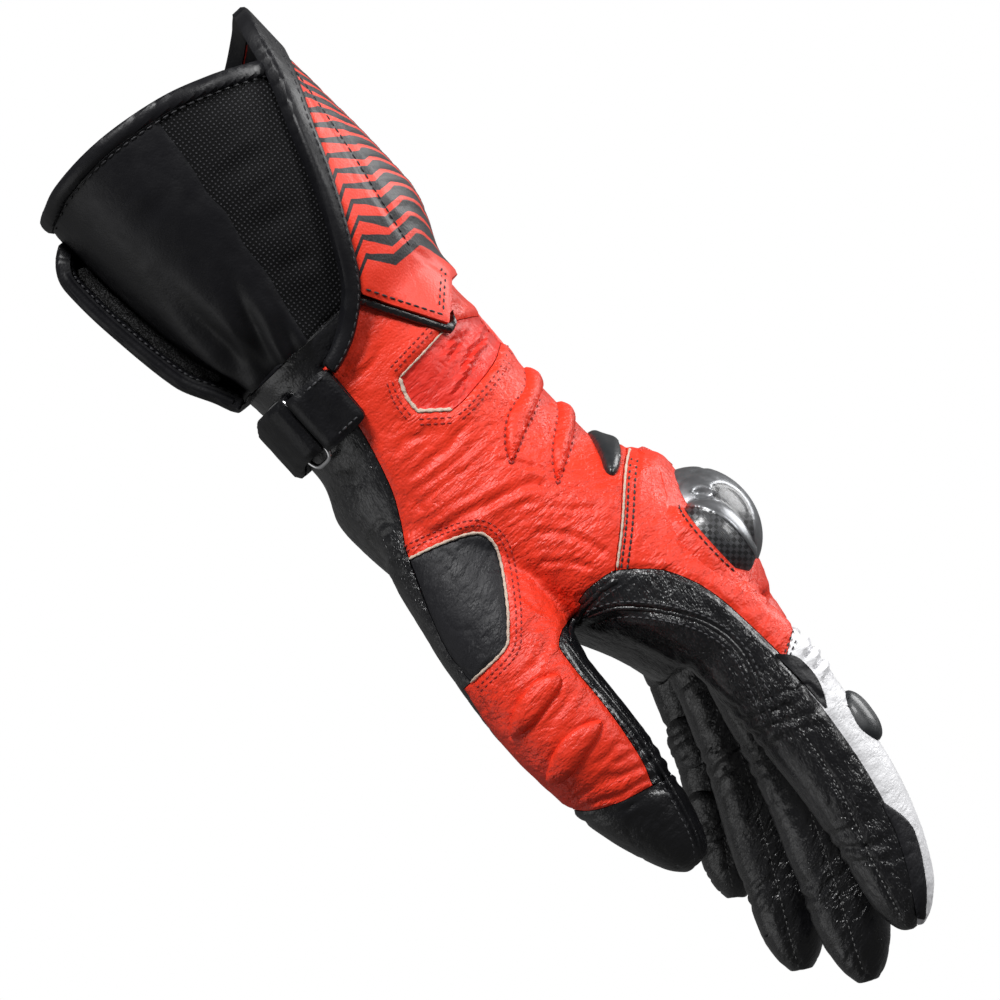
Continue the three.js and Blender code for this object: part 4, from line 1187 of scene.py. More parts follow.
for name, row in FINGERS.items():
    length, width, depth = row[:3]
    path = finger_path(name)
    x = row[START] + 0.465 * length
    spot = np.array([np.interp(x, path[:, 0], path[:, i]) for i in (0, 1, 2, 4)])
    slope = math.atan2(*(np.interp(x + 1, path[:, 0], path[:, 2]) - np.interp(x - 1, path[:, 0], path[:, 2]),
        2))
    t, s = np.meshgrid(np.linspace(-1, 1, 33), np.linspace(-1, 1, 25), indexing="ij")
    # a low shell with a crisp rim and a raised spine
    inside_rim = 1 - np.abs(t) ** 2.6 - np.abs(s) ** 2.6
    height = 2.9 * np.sqrt(np.clip(inside_rim, 0, 1)) + 0.5 * bell(s, 0.16) * np.clip(inside_rim, 0, 1)
    scale = np.where(inside_rim < 0, (np.abs(t) ** 2.6 + np.abs(s) ** 2.6) ** (-1 / 2.6), 1.0)
    lx, ly = t * scale * length * 0.081, s * scale * width * 0.33
    finger_top = (spot[3] / 2) * (1 - (np.abs(ly) / (width / 2)) ** TUBE_SQUARE) ** (1 / TUBE_SQUARE)
    lz = finger_top + height - 0.15
    shell = np.stack([spot[0] + lx * math.cos(slope) - lz * math.sin(slope), spot[1] + ly, spot[2]
        + lx * math.sin(slope) + lz * math.cos(slope)], -1)
    rows, cols = t.shape
    r, c = np.meshgrid(np.arange(rows - 1), np.arange(cols - 1), indexing="ij")
    a = (r * cols + c).ravel()
    faces = np.concatenate([np.stack([a, a + cols, a + cols + 1], 1), np.stack([a, a + cols + 1, a + 1], 1)])
    slider = thickened(Shape(shell.reshape(-1, 3), faces), 1.2)
    piece(f"{name}_knuckle_slider", slider, rubber, "rubber", f"{name}_slider")

# The index finger's end panel and the dark insert beside its ribs
SKIN_FLAT, SKIN_SIDE = side_view(skin.points), skin.points[:, 1]
for name, outline, finish, lift in (
    ("index_end_panel", INDEX_END, patch_leather, 0.35),
    ("index_insert", INDEX_INSERT, cuff_leather, 0.0),
):
    field = np.minimum(inside(SKIN_FLAT, outline), chosen(SKIN_SIDE < FINGERS["index"][SIDE]))
    part = largest(clipped(skin, field))
    piece(name, cushion(part, lift, 0.8, 0.12, 0.5), finish, "black_leather")

# Raised pads and guards on the hand


def skin_part(outline, within, rounds, *ease):
    """A part of the skin inside an outline, evened out away from its edge"""
    part = largest(clipped(skin, np.minimum(inside(SKIN_FLAT, outline), within)))
    return relaxed(part, rounds, smoothstep(*ease, part.edge_distance()))


def up_to(far_side):
    """The near half of the skin, and the far half up to a place along Y"""
    return np.where(SKIN_SIDE < 0, 5.0, far_side - SKIN_SIDE)


for i, outline in enumerate(RIDGES):
    part = skin_part(outline, up_to(37), 6, 0.5, 2)
    made = piece(f"wrist_ridge_{i + 1}_pad", cushion(part, 2.5, 6.2), red_leather, "red_leather",
        f"back_ridge_{i + 1}")
plate = skin_part(PLATE, up_to(30.5), 14, 0.3, 1.5)
piece("rubber_back_plate", cushion(plate, 1.7, 2.6, 0.3, 1.2), rubber, "rubber", "back_plate")
for i, outline in enumerate(THUMB_RIDGES):
    part = skin_part(outline, -45.0 - SKIN_SIDE, 8, 0.4, 1.5)
    made = piece(f"thumb_pad_{i + 1}", cushion(part, 1.8, 3.6), red_leather, "red_leather",
        f"thumb_ridge_{i + 1}")

# along, side, long, wide, high of each dome over the knuckles
DOMES = [(81.5, -9.8, 36, 43.1, 11.5), (82.5, 16.66, 34, 33.3, 9.85), (86.5, -32.3, 26, 20.6, 7.2)]
GUARD_BASE = 37.6


def guard_form():
    balls = []
    for x, y, long, wide, high in DOMES:
        t = np.linspace(-math.pi / 2, math.pi / 2, 60)
        a = circle(90)
        rings = np.stack([np.repeat(x + np.sin(t)[:, None] * long / 2, len(a), 1), y
            + np.cos(t)[:, None] * np.cos(a)[None] * wide / 2, GUARD_BASE
            + np.cos(t)[:, None] * np.sin(a)[None] * high * 1.35], -1)
        balls.append(grid(rings, True))
    return relaxed(fused(balls, 0.8), 8)


guard = guard_form()
g = guard.points
over = g[:, 2] - 37.8 + 0.1 * np.clip(-20 - g[:, 1], 0, 40)
shell = largest(clipped(guard, over))
VENT = curve([(71.7, 42.2), (72.6, 44.8), (75.5, 46.4), (76.6, 45), (74.6, 41.9)], True)
INLAYS = [
    curve([(73, 37.5), (76.5, 40.6), (82, 43.2), (88, 44), (95, 43.4), (99, 42), (102, 39), (102, 32),
        (73, 32)], True, (0, 6, 7, 8)),
    curve([(74.2, 47.3), (75.9, 50), (80.6, 51.8), (86.2, 51.1), (91.1, 48.1), (95, 44.8), (90.4, 46.2),
        (85.9, 47.1), (80, 46.4), (77.3, 45.5)], True, (0, 5)),
]
q = shell.points
flat = side_view(q)
cuts = np.max([inside(flat, o) for o in INLAYS], 0)
cuts = np.where(q[:, 1] < -6, cuts, -np.abs(cuts) - 1)
vent = np.where(q[:, 1] < -20, inside(flat, VENT), -5)
rim_field = smoothstep(0, 1.2, shell.edge_distance())
dip = 0.55 * smoothstep(-0.35, 0.35, cuts) + 1.6 * smoothstep(-0.4, 1.0, vent)
lines = 0.3 * bell(q[:, 0] - 70.5 - 0.12 * q[:, 1], 0.8)
shell = shell.moved(-dip - lines + 0.35 * (1 - rim_field))
piece("knuckle_shell", thickened(clipped(shell, -cuts), 1.4), guard_metal, "guard_shell", "knuckle_guard")
piece("knuckle_inlay", thickened(clipped(shell, cuts), 1.2), carbon, "guard_shell")

COLLAR_ROWS, COLLAR_SEAM_ROW = 12, 4


def rim_loop(shape):
    """The longest open rim of a mesh, as points in order"""
    following = dict(shape.edge_points().tolist())
    best = []
    while following:
        start, here = following.popitem()
        line = [start]
        while here in following:
            line.append(here)
            here = following.pop(here)
        if len(line) > len(best):
            best = line
    return shape.points[best]


def closed_smooth(line, rounds):
    for _ in range(rounds):
        line = (np.roll(line, 1, 0) + 2 * line + np.roll(line, -1, 0)) / 4
    return line


def guard_collar():
    """Leather that rises from the skin to the rim of the guard, and the seam along it"""
    rim = closed_smooth(rim_loop(shell), 12)
    rim = closed_smooth(even(ringed(rim), 1.0)[:-1], 6)
    way = np.roll(rim, -1, 0) - np.roll(rim, 1, 0)
    out = unit(np.stack([way[:, 1], -way[:, 0], np.zeros(len(way))], 1))
    if ((rim - rim.mean(0)) * out).sum() < 0:
        out = -out
    out = closed_smooth(out, 8)
    foot = rim + out * 4.6 - np.array([0, 0, 3.6])
    foot = np.array([SKIN_TREE.find_nearest(Vector(spot))[0] for spot in foot])
    foot = closed_smooth(foot, 10)
    top = rim - out * 0.35 + np.array([0, 0, 0.75])
    middle = rim + out * 2.3 - np.array([0, 0, 0.2])
    shares = np.linspace(0, 1.06, COLLAR_ROWS)
    rows = [(1 - t) ** 2 * top + 2 * t * (1 - t) * middle + t * t * foot for t in shares]
    made = grid(rows)
    outward = np.tile(out, (len(rows), 1))
    if (made.normals() * outward).sum() < 0:
        made = Shape(made.points, made.faces[:, ::-1])
    seam = slice(COLLAR_SEAM_ROW * len(rim), (COLLAR_SEAM_ROW + 1) * len(rim))
    return made, (rows[COLLAR_SEAM_ROW][::2], made.normals()[seam][::2])


collar, COLLAR_SEAM = guard_collar()
row_of = np.arange(len(collar.points)) // (len(collar.points) // COLLAR_ROWS)
collar = collar.moved(-0.3 * bell(row_of - COLLAR_SEAM_ROW, 0.9))
piece("guard_collar", thickened(collar, 0.8), red_leather, "red_leather")

# Two raised pads on the palm side of the little finger
for i, share in enumerate((0.42, 0.68)):
    path = finger_path("little")
    at = path[0, 0] + share * FINGERS["little"][0]
    y, z, wide, deep = (np.interp(at, path[:, 0], path[:, k]) for k in range(1, 5))
    centre = np.array([at, y - 0.32 * wide, z - 0.28 * deep])
    tube = TUBES["little"]
    reach = np.linalg.norm((tube.points - centre) / (7.9, 7.4, 7.6), axis=1)
    pad = largest(clipped(tube, 1 - reach))
    made = piece(f"finger_pad_{i + 1}", cushion(pad, 1.6, 2.6, 0.1, 1.0), finger_leather, "black_leather",
                 f"little_pad_{i + 1}")


# Cuff

MOUTH = curve([(-94.9, 48), (-95.8, 34.4), (-101.2, 20), (-105.7, 4.8), (-108.1, -15.2), (-107.2, -32),
    (-104.4, -42.4), (-102.1, -64)])
BEYOND_MOUTH = np.concatenate([MOUTH, [(-260, -64), (-260, 48)]])
GUSSET = curve([(-121, 2.4), (-100.3, 0.8), (-86, -0.6), (-77, -2.2), (-69.7, -2.0), (-60, -4.2),
    (-49.9, -4.8), (-40, -6.9), (-24.7, -9.6)])
BACK_NEAR = curve([(-112.6, 50), (-112, 40), (-90.4, 34), (-75.1, 28), (-59.8, 22), (-45.4, 15.2), (-34, 8.6),
    (-27, 1), (-23.4, -6), (-22.2, -10.5)])
BACK_FAR = curve([(-112.6, 50), (-112, 40), (-108.9, 35.2), (-103, 25.6), (-99.4, 16), (-98, 3.2),
    (-97.6, -7.8)])
BACK_LOW = np.array([(-97.6, -8.0), (-60.0, -8.0), (-27.4, -8.0)])
WRIST_EDGE = curve([(-30.1, 10), (-7.2, 23.6), (-16.2, 32.8), (-16.2, 70)], False, (1, 2))
BINDING = 4.6


def cuff_surface(by, low_x, high_x, hang=0.0, sides=280, step=1.0):
    xs = np.linspace(low_x, high_x, int((high_x - low_x) / step) + 1)
    return grid(body_rings(xs, by, sides, hang))


CUFF_FOLDS = [
    (1.9, 2.4, [(-14, -23), (-33, -20.5), (-43, -17.5), (-62, -12)]),
    (1.7, 2.8, [(-14, -28.5), (-36, -28), (-52, -28.5), (-74, -27)]),
    (1.2, 2.0, [(-16, -17), (-30, -13.5), (-44, -9.5)]),
    (1.2, 2.2, [(-16, -32), (-36, -34.5), (-50, -36), (-70, -38)]),
    (0.9, 1.8, [(-15, -25.5), (-30, -24.5), (-46, -22.5)]),
    (0.45, 2.6, [(-96, 6), (-94, 18), (-90, 30)]),
    (0.7, 2.8, [(-78, -2), (-77, 10), (-73, 24)]),
    (0.7, 2.8, [(-63, -4), (-60, 6), (-57, 18)]),
    (0.6, 2.4, [(-49, -5), (-47, 4), (-44, 11)]),
    (0.4, 3.0, [(-86, -8), (-84, -18), (-86, -28)]),
]


def wall_of_cuff():
    wall = cuff_surface(0, -114, -29.6)
    p = wall.points
    x, y, z = p.T
    sink = grooves(p, CUFF_FOLDS, y < 0, 0.45)
    gather = smoothstep(-62, -30, x)
    angle = np.arctan2(z, -y)
    lower = smoothstep(6, -8, z)
    sink += gather * lower * 1.5 * np.cos(angle * 11 + 0.9 * value_noise(p, 20, 50))
    sink += gather * lower * 0.3 * value_noise(p, 5, 52) + 0.35 * value_noise(p, 22, 51)
    return wall.moved(-sink)


wall = wall_of_cuff()
p = wall.points
flat = side_view(p)
from_mouth = -inside(flat, BEYOND_MOUTH)
above_line = p[:, 2] - np.interp(p[:, 0], GUSSET[:, 0], GUSSET[:, 1])
under_back = 32.4 - p[:, 2]
band = from_mouth - BINDING
leather_part = largest(clipped(wall, np.minimum(band - GAP, -above_line - GAP)))
panel("cuff_lower_leather", leather_part, cuff_leather, "cuff_leather", "cuff_palm", roll=0.35)
for name, side, node in (("near", -1, "gusset_thumb_side"), ("far", 1, "gusset_little_side")):
    field = np.minimum.reduce([band - GAP, above_line + 1.6, under_back, chosen(p[:, 1] * side > 0)])
    part = largest(clipped(wall, field))
    part = part.moved(-0.55)
    panel(f"mesh_{name}", part, mesh_cloth, "mesh_fabric", node, roll=0.3, depth=1.5)
edge = clipped(wall, np.minimum.reduce([from_mouth, -band, under_back]))
mouth_piece = cushion(edge, 1.25, 2.2, 0.05, 2.7)
piece("mouth_binding", mouth_piece, cuff_leather, "cuff_leather", "cuff_mouth_binding")
WALL_TREE = surface_of(wall)

# Striped back of the cuff, its binding and its trim

outer = cuff_surface(BACK_OUT, -115, -4.5)
p = outer.points
flat = side_view(p)
top_ends = [(-112, FAR)], [(-16.2, FAR)]
near_out, far_out = (np.concatenate([top_ends[0], *lines, WRIST_EDGE[:-1], top_ends[1]])
    for lines in ([BACK_NEAR[BACK_NEAR[:, 1] > 8.5]], [BACK_FAR, BACK_LOW]))
near_line, _ = line_distance(flat, BACK_NEAR)
far_line = np.minimum(line_distance(flat, BACK_FAR)[0], line_distance(flat, BACK_LOW)[0])
back_field = np.where(p[:, 1] < 0, np.minimum(inside(flat, near_out), near_line - BINDING - GAP),
    np.minimum(inside(flat, far_out), far_line - BINDING - GAP))
CUFF_SEAM = curve([(-92, 38.6), (-80, 37.4), (-60, 34.6), (-45, 31.9), (-30, 29.2)])
TOP_PAD_END = curve([(-30, 29.2), (-22, 31.0), (-16.5, 32.4)])
dent = grooves(p, [(0.5, 0.9, CUFF_SEAM), (0.4, 0.8, TOP_PAD_END)], p[:, 1] < 0)
dent += 0.35 * value_noise(p, 15, 60) + 0.2 * creases(p, 6, (1, 1, 2), 61)
puff = smoothstep(0, 5, p[:, 2] - np.interp(p[:, 0], CUFF_SEAM[:, 0], CUFF_SEAM[:, 1])) * smoothstep(-28, -40,
    p[:, 0])
ribbing = np.cos((p[:, 0] + 0.35 * np.abs(p[:, 1])) / 4.6 * ROUND) * 0.25 * puff
outer_moved = outer.moved(-dent + 0.7 * puff * smoothstep(-96, -86, p[:, 0]) + ribbing)
OUTER_TREE = surface_of(outer_moved)
back_part = largest(clipped(outer_moved, back_field))
panel("striped_back", back_part, stripes, "red_leather", "cuff_back", roll=0.45, depth=2.5)
lining = back_part.moved(-2.55)
piece("back_lining", thickened(lining, 0.3), cuff_leather, "cuff_leather")

near_band = np.minimum(inside(flat, np.concatenate([BACK_NEAR, shifted(BACK_NEAR, BINDING)[::-1]])), 5.0)
far_band = np.minimum(inside(flat, far_out), BINDING - far_line)
binding_field = np.where(p[:, 1] < 0, near_band, far_band)
binding_part = largest(clipped(outer, binding_field))
bound = cushion(binding_part, 1.25, 2.3, -0.2, 3.3)
piece("back_binding", bound, cuff_leather, "cuff_leather", "cuff_back_binding")
BINDING_TREE = surface_of(bound)

trim_surface = cuff_surface(TRIM_OUT, -33, -1, sides=340)
flat_t = side_view(trim_surface.points)
trim_outline = np.concatenate([shifted(WRIST_EDGE, -0.2), shifted(WRIST_EDGE, -2.9)[::-1]])
narrow = 2.3 * smoothstep(23.6, 26.0, flat_t[:, 1])
trim_field = np.minimum(inside(flat_t, trim_outline), line_distance(flat_t, BACK_NEAR)[0] - 0.3)
trim_field = np.minimum(trim_field, 2.9 - narrow - line_distance(flat_t, WRIST_EDGE)[0])
trim_part = largest(clipped(trim_surface, trim_field))
piece("wrist_trim", cushion(trim_part, 0.9, 1.4, 0, 0.9), black_leather, "cuff_leather", "cuff_trim")

# Closure flap, its binding and hook strip

flap_surface = cuff_surface(FLAP_OUT, -98, -27, FLAP_DROP, 340)
p = flap_surface.points
from_end, from_side = p[:, 0] + 95.8, p[:, 1] + 19.6
turn_in = 7.5
corner = turn_in - np.hypot(np.maximum(turn_in - from_end, 0), np.maximum(turn_in - from_side, 0))
rim = np.where((from_end < turn_in) & (from_side < turn_in), corner, np.minimum(from_end, from_side))
flap_field = np.minimum.reduce([rim, -28.3 - p[:, 0], -8.3 - p[:, 2]])
flap_moved = flap_surface.moved(-0.5 * value_noise(p, 18, 70))
bent = np.clip((-84 - p[:, 0]) / 11, 0, 1.1) ** 2.5 * smoothstep(44, 20, p[:, 1])
flap_moved.points[:, 2] += FLAP_BEND * bent
flap_part = largest(clipped(flap_moved, np.minimum(flap_field, rim - 4.2)))
panel("flap_leather", flap_part, cuff_leather, "cuff_leather", "closure_flap", roll=0.4, depth=2.4)
flap_edge = largest(clipped(flap_moved, np.minimum(flap_field, 4.1 - rim)))
FLAP_TREE = surface_of(flap_moved)


def under_flap(line):
    """Points and normals of the flap under places given as x and y"""
    spots, normals = [], []
    for x, y in line:
        hit, normal, _, _ = FLAP_TREE.ray_cast(Vector((x, y, -FAR)), Vector((0, 0, 1)))
        if hit is not None:
            spots.append(np.array(hit))
            normals.append(-np.array(normal) if normal.z > 0 else np.array(normal))
    return np.array(spots), np.array(normals)


flap_rim = curve([(-29.5, -18.2), (-60, -18.2), (-82, -18.2), (-88.3, -17.9), (-92.4, -16), (-94.3, -12.1),
    (-94.4, -6), (-94.4, 10), (-94.4, 30)])
spots, normals = under_flap(even(flap_rim, 1.0))
bead = rope(spots - normals * 1.2, 1.9, 14, 0.95, normals)
INWARD = np.array([0, 1.0, 0])
front = spots[:, 1] < -15.5
inner_lip = rope(spots[front] - normals[front] * 3.5 + INWARD * 1.2, 1.0, 10, 0.9, normals[front])
piece("flap_edge_binding", together(cushion(flap_edge, 1.0, 2.1, -0.1, 3.0), bead, inner_lip), cuff_leather,
      "cuff_leather", "flap_binding")
FLAP_STITCHES = (spots[front] - normals[front] * 3.6 + INWARD * 0.2)[::2]
pile_line = (spots - normals * 6.2 + INWARD * 3.4)[front]
pile_line = pile_line[(pile_line[:, 0] > -87) & (pile_line[:, 0] < -38)]
pile = rope(pile_line, 1.1, 20, 1.7, np.tile([0, 0, -1.0], (len(pile_line), 1)))
pile = pile.moved(0.35 * value_noise(pile.points, 0.8, 76))
hook_surface = cuff_surface(HOOK_OUT, -86, -39, FLAP_DROP, 340)
p = hook_surface.points
hook_field = np.minimum.reduce([p[:, 1] + 15, 9.8 - p[:, 1], p[:, 0] + 85, -40 - p[:, 0], -20 - p[:, 2]])
hook_part = clipped(hook_surface, hook_field)
hook_part = hook_part.moved(0.35 * value_noise(hook_part.points, 0.9, 75) - 0.2)
piece("hook_strip_fuzz", together(thickened(hook_part, 1.2), pile), hooks, "hook_fabric", "hook_strip",
    sharp=80)

# Wrist strap, tab and wire ring

RING_MIDDLE = -12.0
RING_HEIGHT = -26.0
strap_finish = leather("strap_leather", BLACK, 0.42, 0.3, 0.2, (1, 1, 1), 0.3, 0.28)
strap_surface = cuff_surface(STRAP_OUT, -24, 0, sides=330, step=0.75)
p = strap_surface.points
x, y, z = p.T
fold = 0.25 * value_noise(p, 6, 80) + 0.18 * creases(p, 4, (1, 1, 0.6), 81)
sides_of = np.minimum(x + 21, -3 - x)
tab_across = np.abs(x + 12) - 6.8
tab_along = np.abs(z + 18.1) - 5.1
outside_tab = np.hypot(np.maximum(tab_across, 0), np.maximum(tab_along, 0))
tab_field = 2.2 - outside_tab - np.minimum(np.maximum(tab_across, tab_along), 0)
tab_field = np.where(z < -18, np.minimum(sides_of, z - RING_HEIGHT - 0.6), np.minimum(tab_field, -10.8 - z))
tab_field = np.minimum(tab_field, -y)
tab = largest(clipped(strap_surface.moved(-fold), tab_field))
inner_tab = tab.moved(-3.0)
over_wire = 1.3 * bell(tab.points[:, 2] - RING_HEIGHT - 3.6, 2.6)
outer_tab = tab.moved(-0.7 * (1 - smoothstep(0, 1.7, tab.edge_distance())) + 0.25 + over_wire)
piece("tab_leather", together(thickened(outer_tab, 1.3), thickened(inner_tab, 1.1)), strap_finish,
    "cuff_leather", "strap_tab")
below = np.where(y < 0, RING_HEIGHT - 0.7 - z, -z)
lean_back = 1.6 * smoothstep(-4, -22, y)
strap_field = np.minimum.reduce([x + 21 + lean_back, -3 - lean_back - x, below])
strap = largest(clipped(strap_surface.moved(-fold), strap_field))
inner_strap = strap.moved(-3.0)
over_wire = 1.1 * bell(strap.points[:, 2] - RING_HEIGHT + 4, 2.6) * (strap.points[:, 1] < 0)
outer_strap = strap.moved(-1.0 * (1 - smoothstep(0, 1.7, strap.edge_distance())) + over_wire)
piece("strap_leather", together(thickened(outer_strap, 1.3), thickened(inner_strap, 1.1)), strap_finish,
      "cuff_leather", "wrist_strap")
STRAP_TREE = surface_of(strap_surface)

WRIST_DEPTH = WRIST_TOP - WRIST_BOTTOM
up_share = abs(RING_HEIGHT + 0.6) / (WRIST_DEPTH / 2)
out_share = (1 - up_share**BODY_SQUARE) ** (1 / BODY_SQUARE)
lean = math.atan((up_share / out_share) ** (BODY_SQUARE - 1) * (WRIST_WIDTH / WRIST_DEPTH))
ring_y = -out_share * WRIST_WIDTH / 2
around, small = circle(96), circle(14)
WIRE = 0.75
cx, cz = 10.5 * rounded(np.cos(around), 4), 5.75 * rounded(np.sin(around), 4)
wide = WIRE * np.cos(small)
rings = np.stack([cx[:, None] + wide[None] * np.cos(around)[:, None],
    np.broadcast_to(WIRE * np.sin(small)[None], (len(around), len(small))), cz[:, None]
    + wide[None] * np.sin(around)[:, None]], -1)
lift = 2.3
cos, sin = math.cos(lean), math.sin(lean)
x, y, z = np.moveaxis(rings, -1, 0)
turned = np.stack([x, cos * y - sin * z, sin * y + cos * z], -1)
turned += np.array([RING_MIDDLE, ring_y - lift * cos, RING_HEIGHT - lift * sin])
ring_shape = grid(ringed(turned))
count = len(around) * len(small)
ring_shape.faces = ring_shape.faces % count
ring_shape.points = ring_shape.points[:count]
piece("wire_ring", ring_shape, wire, "wire", "strap_ring", sharp=80)


# Stitches and raw edges


def relaxed_line(spots, rounds):
    spots = spots.copy()
    for _ in range(rounds):
        spots[1:-1] = (spots[:-2] + 2 * spots[1:-1] + spots[2:]) / 4
    return spots


def rows_on(tree, lines, pitch, long, thick, **how):
    return [stitch_row(tree, np.asarray(line, float), pitch, long, thick, **how) for line in lines]


red_rows = rows_on(SKIN_TREE, [shifted(stretch(WINDOW, *ends), -by) for by in (2.3, 3.8)
                               for ends in ((0, 2), (2, 4), (4, 5), (5, 8))], 1.75, 1.25, 0.25)
red_rows += rows_on(SKIN_TREE, [shifted(stretch(PATCH, 0, 8), by) for by in (2.2, 3.6)], 1.75, 1.25, 0.25)
red_rows += rows_on(SKIN_TREE, [shifted(stretch(o, 1, len(o) // PIECES - 2), -0.3) for o in RIDGES], 1.9,
    1.35, 0.28)
red_rows += rows_on(SKIN_TREE, [shifted(ringed(o), 0.35) for o in THUMB_RIDGES], 1.9, 1.35, 0.26)
threads("red_stitches", red_rows, red_thread_painted_shade, "red_leather")

INSERT_ROWS = [(118.5, 37.4), (120, 34), (121.6, 30.6)], [(120.2, 37.6), (121.8, 34), (123.2, 31)]
CORNER_ROW = curve([(-29.5, 12.2), (-20, 17.6), (-9.8, 23.6)])
CUFF_END_ROWS = [[(-9.2 - by, 24.2), (-17.2 - by, 32.2)] for by in (1.6, 3.2)]
black_rows = rows_on(SKIN_TREE, [shifted(KNUCKLE_SEAM, by) for by in (1.2, 2.9)], 1.75, 1.6, 0.3)
black_rows.append(stitches_at(*COLLAR_SEAM, 1.5, 0.27, 0.05))
black_rows += rows_on(SKIN_TREE, INSERT_ROWS, 1.7, 1.3, 0.25)
black_rows += rows_on(OUTER_TREE, [CUFF_SEAM], 2.2, 1.7, 0.28)
black_rows += rows_on(OUTER_TREE, [CORNER_ROW], 2.2, 1.7, 0.3)
black_rows += rows_on(OUTER_TREE, CUFF_END_ROWS, 1.9, 1.5, 0.28)
black_rows += rows_on(WALL_TREE, [MOUTH[PIECES:-PIECES] + (5.4, 0)], 2.6, 2.0, 0.3)
black_rows += rows_on(BINDING_TREE, [shifted(BACK_NEAR, 3.9)[3:]], 2.6, 2.0, 0.26)
threads("black_stitches", black_rows, black_thread, "black_leather")

TAB_ROWS = [
    [(-19.4, -12.4), (-19.4, -22.4)],
    [(-4.8, -12.4), (-4.8, -22.4)],
    [(-19.4, -22.2), (-4.8, -22.2)],
    [(-20.3, -28.4), (-20.1, -33.5)],
]
seam_rows = rows_on(SKIN_TREE, [shifted(PALM_SEAM, by) for by in (-2.4, 1.8)], 1.9, 1.4, 0.28)
seam_rows += rows_on(SKIN_TREE, [shifted(WELT_SEAM, 2.0), shifted(THUMB_SEAM, -1.9)], 1.9, 1.4, 0.24)
seam_rows += rows_on(STRAP_TREE, TAB_ROWS, 2.2, 1.8, 0.36, sink=-0.05)
lip_normals = np.tile([0, -1.0, 0.3], (len(FLAP_STITCHES), 1))
seam_rows.append(stitches_at(FLAP_STITCHES, lip_normals, 1.4, 0.32, 0.05))
threads("strap_stitches", seam_rows, black_thread_painted_sheen, "cuff_leather")

FINGER_TREES["index"] = SKIN_TREE
VENTS = [("index", 186, -1), ("index", 200, -8.5), ("middle", 188, -18), ("ring", 178, -25)]
vents = [rows_on(FINGER_TREES[name], [[(x - 0.5, z), (x + 0.5, z)]], 1.0, 1.0, 0.75, sink=0.3)[0]
         for name, x, z in VENTS]

welts = []
for line, radius in ((PALM_SEAM, 0.75), (WELT_SEAM, 1.1), (THUMB_SEAM, 0.8)):
    spots, normals = on_surface(SKIN_TREE, even(line, 0.9))
    spots = relaxed_line(spots, 6)
    welts.append(rope(spots - normals * radius * 0.25, radius, 10, 0.85, normals))
piece("seam_welts", together(*welts), black_leather, "black_leather", sharp=80)

white_rows = rows_on(SKIN_TREE, [INDEX_SEAM], 1.7, 1.0, 0.2)
for name in TUBES:
    path = finger_path(name)
    keep = (path[:, 0] > FINGERS[name][WEB] + 2) & (path[:, 0] < path[-1, 0] - 2.5)
    slope = np.arctan2(np.gradient(path[:, 2]), np.gradient(path[:, 0]))
    down = 0.09 * path[:, 4]
    line = np.stack([path[:, 0] + np.sin(slope) * down, path[:, 2] - np.cos(slope) * down], 1)[keep]
    for side in (-FAR, FAR):
        white_rows += rows_on(FINGER_TREES[name], [line], 1.7, 1.0, 0.2, from_y=side)
threads("finger_stitches", white_rows, white_thread, "white_leather")
threads("vent_holes", vents, black_thread, "black_leather")

edges = []
for line, size in (
    (stretch(WINDOW, 0, 2), 0.32),
    (stretch(WINDOW, 2, 5), 0.62),
    (stretch(PATCH, 0, 8), 0.42),
    (shifted(KNUCKLE_SEAM, 0.15), 0.36),
):
    spots, normals = on_surface(SKIN_TREE, even(line, 0.8))
    wavy = size * (1 + 0.25 * np.sin(np.arange(len(spots)) * 1.9))
    edges.append(rope(spots - normals * 0.1, wavy, 8, 0.7, normals))
piece("raw_edges", together(*edges), raw_edge, "white_leather", sharp=80)

# Camera, light and floor

LENS = 400
SENSOR = 36
SEEN_WIDTH = 277.8
aim = Vector((38.3, 0, 1.0)) * MM
right, upward = Vector((0.669131, 0, 0.743145)), Vector((-0.743145, 0, 0.669131))
camera_data = bpy.data.cameras.new("camera")
camera_data.sensor_width = SENSOR
camera_data.lens = LENS
camera_data.clip_end = 20
camera = bpy.data.objects.new("camera", camera_data)
back = Vector((0, -1, 0))
distance = SEEN_WIDTH * MM * LENS / SENSOR
turn = Matrix((right, upward, back)).transposed().to_4x4()
camera.matrix_world = Matrix.Translation(aim + back * distance) @ turn
bpy.context.scene.collection.objects.link(camera)
bpy.context.scene.camera = camera


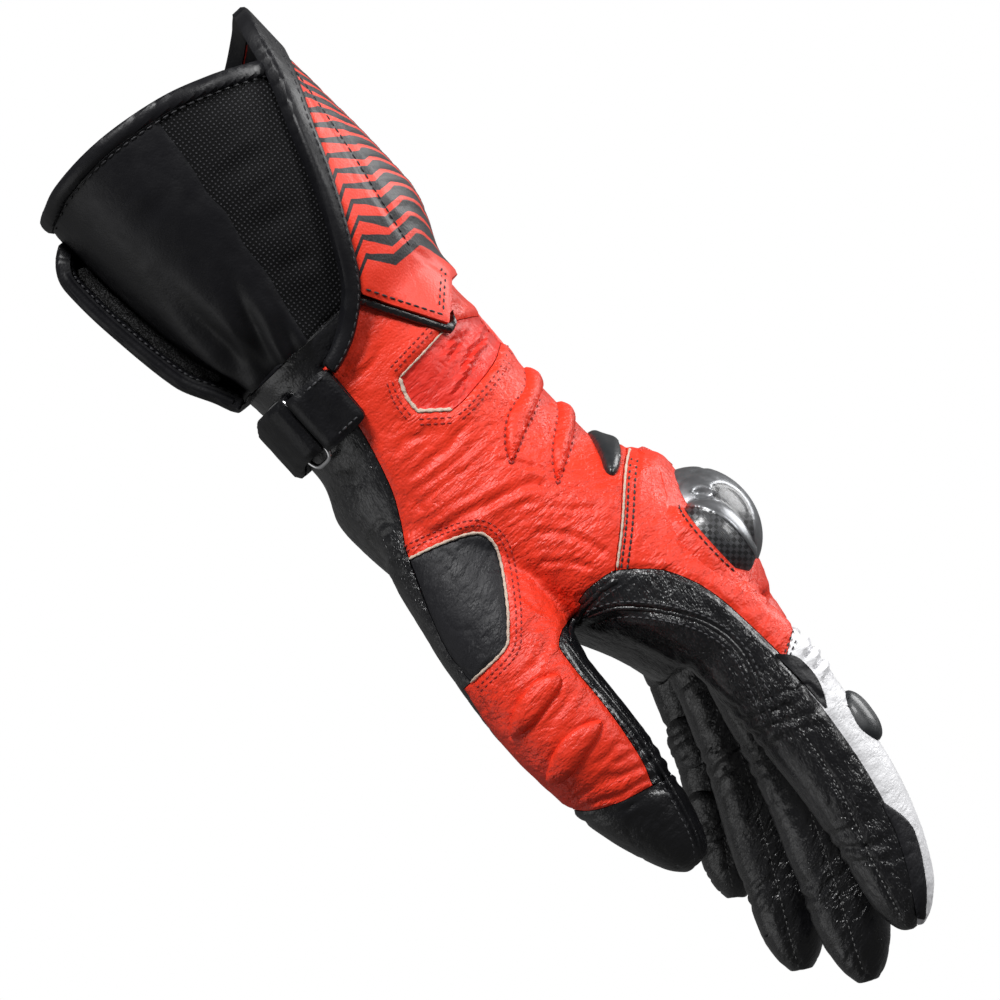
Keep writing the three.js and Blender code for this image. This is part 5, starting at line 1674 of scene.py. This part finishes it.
def area_light(name, spot, power, size):
    data = bpy.data.lights.new(name, "AREA")
    data.energy = power
    data.size = size
    light = bpy.data.objects.new(name, data)
    light.location = spot
    light.rotation_euler = (aim - Vector(spot)).to_track_quat("-Z", "Y").to_euler()
    bpy.context.scene.collection.objects.link(light)


def seen(along_right, along_up, along_back):
    """A place given as the camera sees it, in metres from the glove's middle"""
    return tuple(aim + right * along_right + upward * along_up + back * along_back)


# right, up and back as the camera sees it, power, size
LIGHTS = {
    "key": (-0.55, 0.95, 0.75, 20, 0.35),
    "fill": (0.8, 0.75, 0.65, 8, 0.35),
    "rim": (0.8, 0.7, -0.45, 9, 0.6),
    "low": (-0.8, -0.6, 0.2, 1.3, 0.7),
}
for name, (*spot, power, size) in LIGHTS.items():
    area_light(name, seen(*spot), power, size)

world = bpy.data.worlds.new("studio")
world.use_nodes = True
glow = world.node_tree.nodes["Background"]
glow.inputs["Color"].default_value = (1, 1, 1, 1)
rays = world.node_tree.nodes.new("ShaderNodeLightPath")
world.node_tree.links.new(
    spread(world.node_tree, rays.outputs["Is Camera Ray"], 0, 1, 0.11, 1.0), glow.inputs["Strength"]
)
bpy.context.scene.world = world
bpy.context.scene.view_settings.view_transform = "Standard"

# far below, so that a camera that looks up at the glove is still above it
FLOOR = -3.5
floor_mesh = bpy.data.meshes.new("floor")
floor_mesh.from_pydata([(x, y, FLOOR) for x, y in ((-30, -30), (30, -30), (30, 30), (-30, 30))], [],
    [(0, 1, 2, 3)])
floor = bpy.data.objects.new("floor", floor_mesh)
bpy.context.scene.collection.objects.link(floor)
floor_paint, _, floor_shader = material("floor_paint", (0.93, 0.93, 0.93), 0.8)
floor_shader.inputs["Emission Color"].default_value = (1, 1, 1, 1)
floor_rays = floor_paint.node_tree.nodes.new("ShaderNodeLightPath")
floor_paint.node_tree.links.new(maths(floor_paint.node_tree, "MULTIPLY", floor_rays.outputs["Is Camera Ray"],
    0.9), floor_shader.inputs["Emission Strength"])
floor_mesh.materials.append(floor_paint)
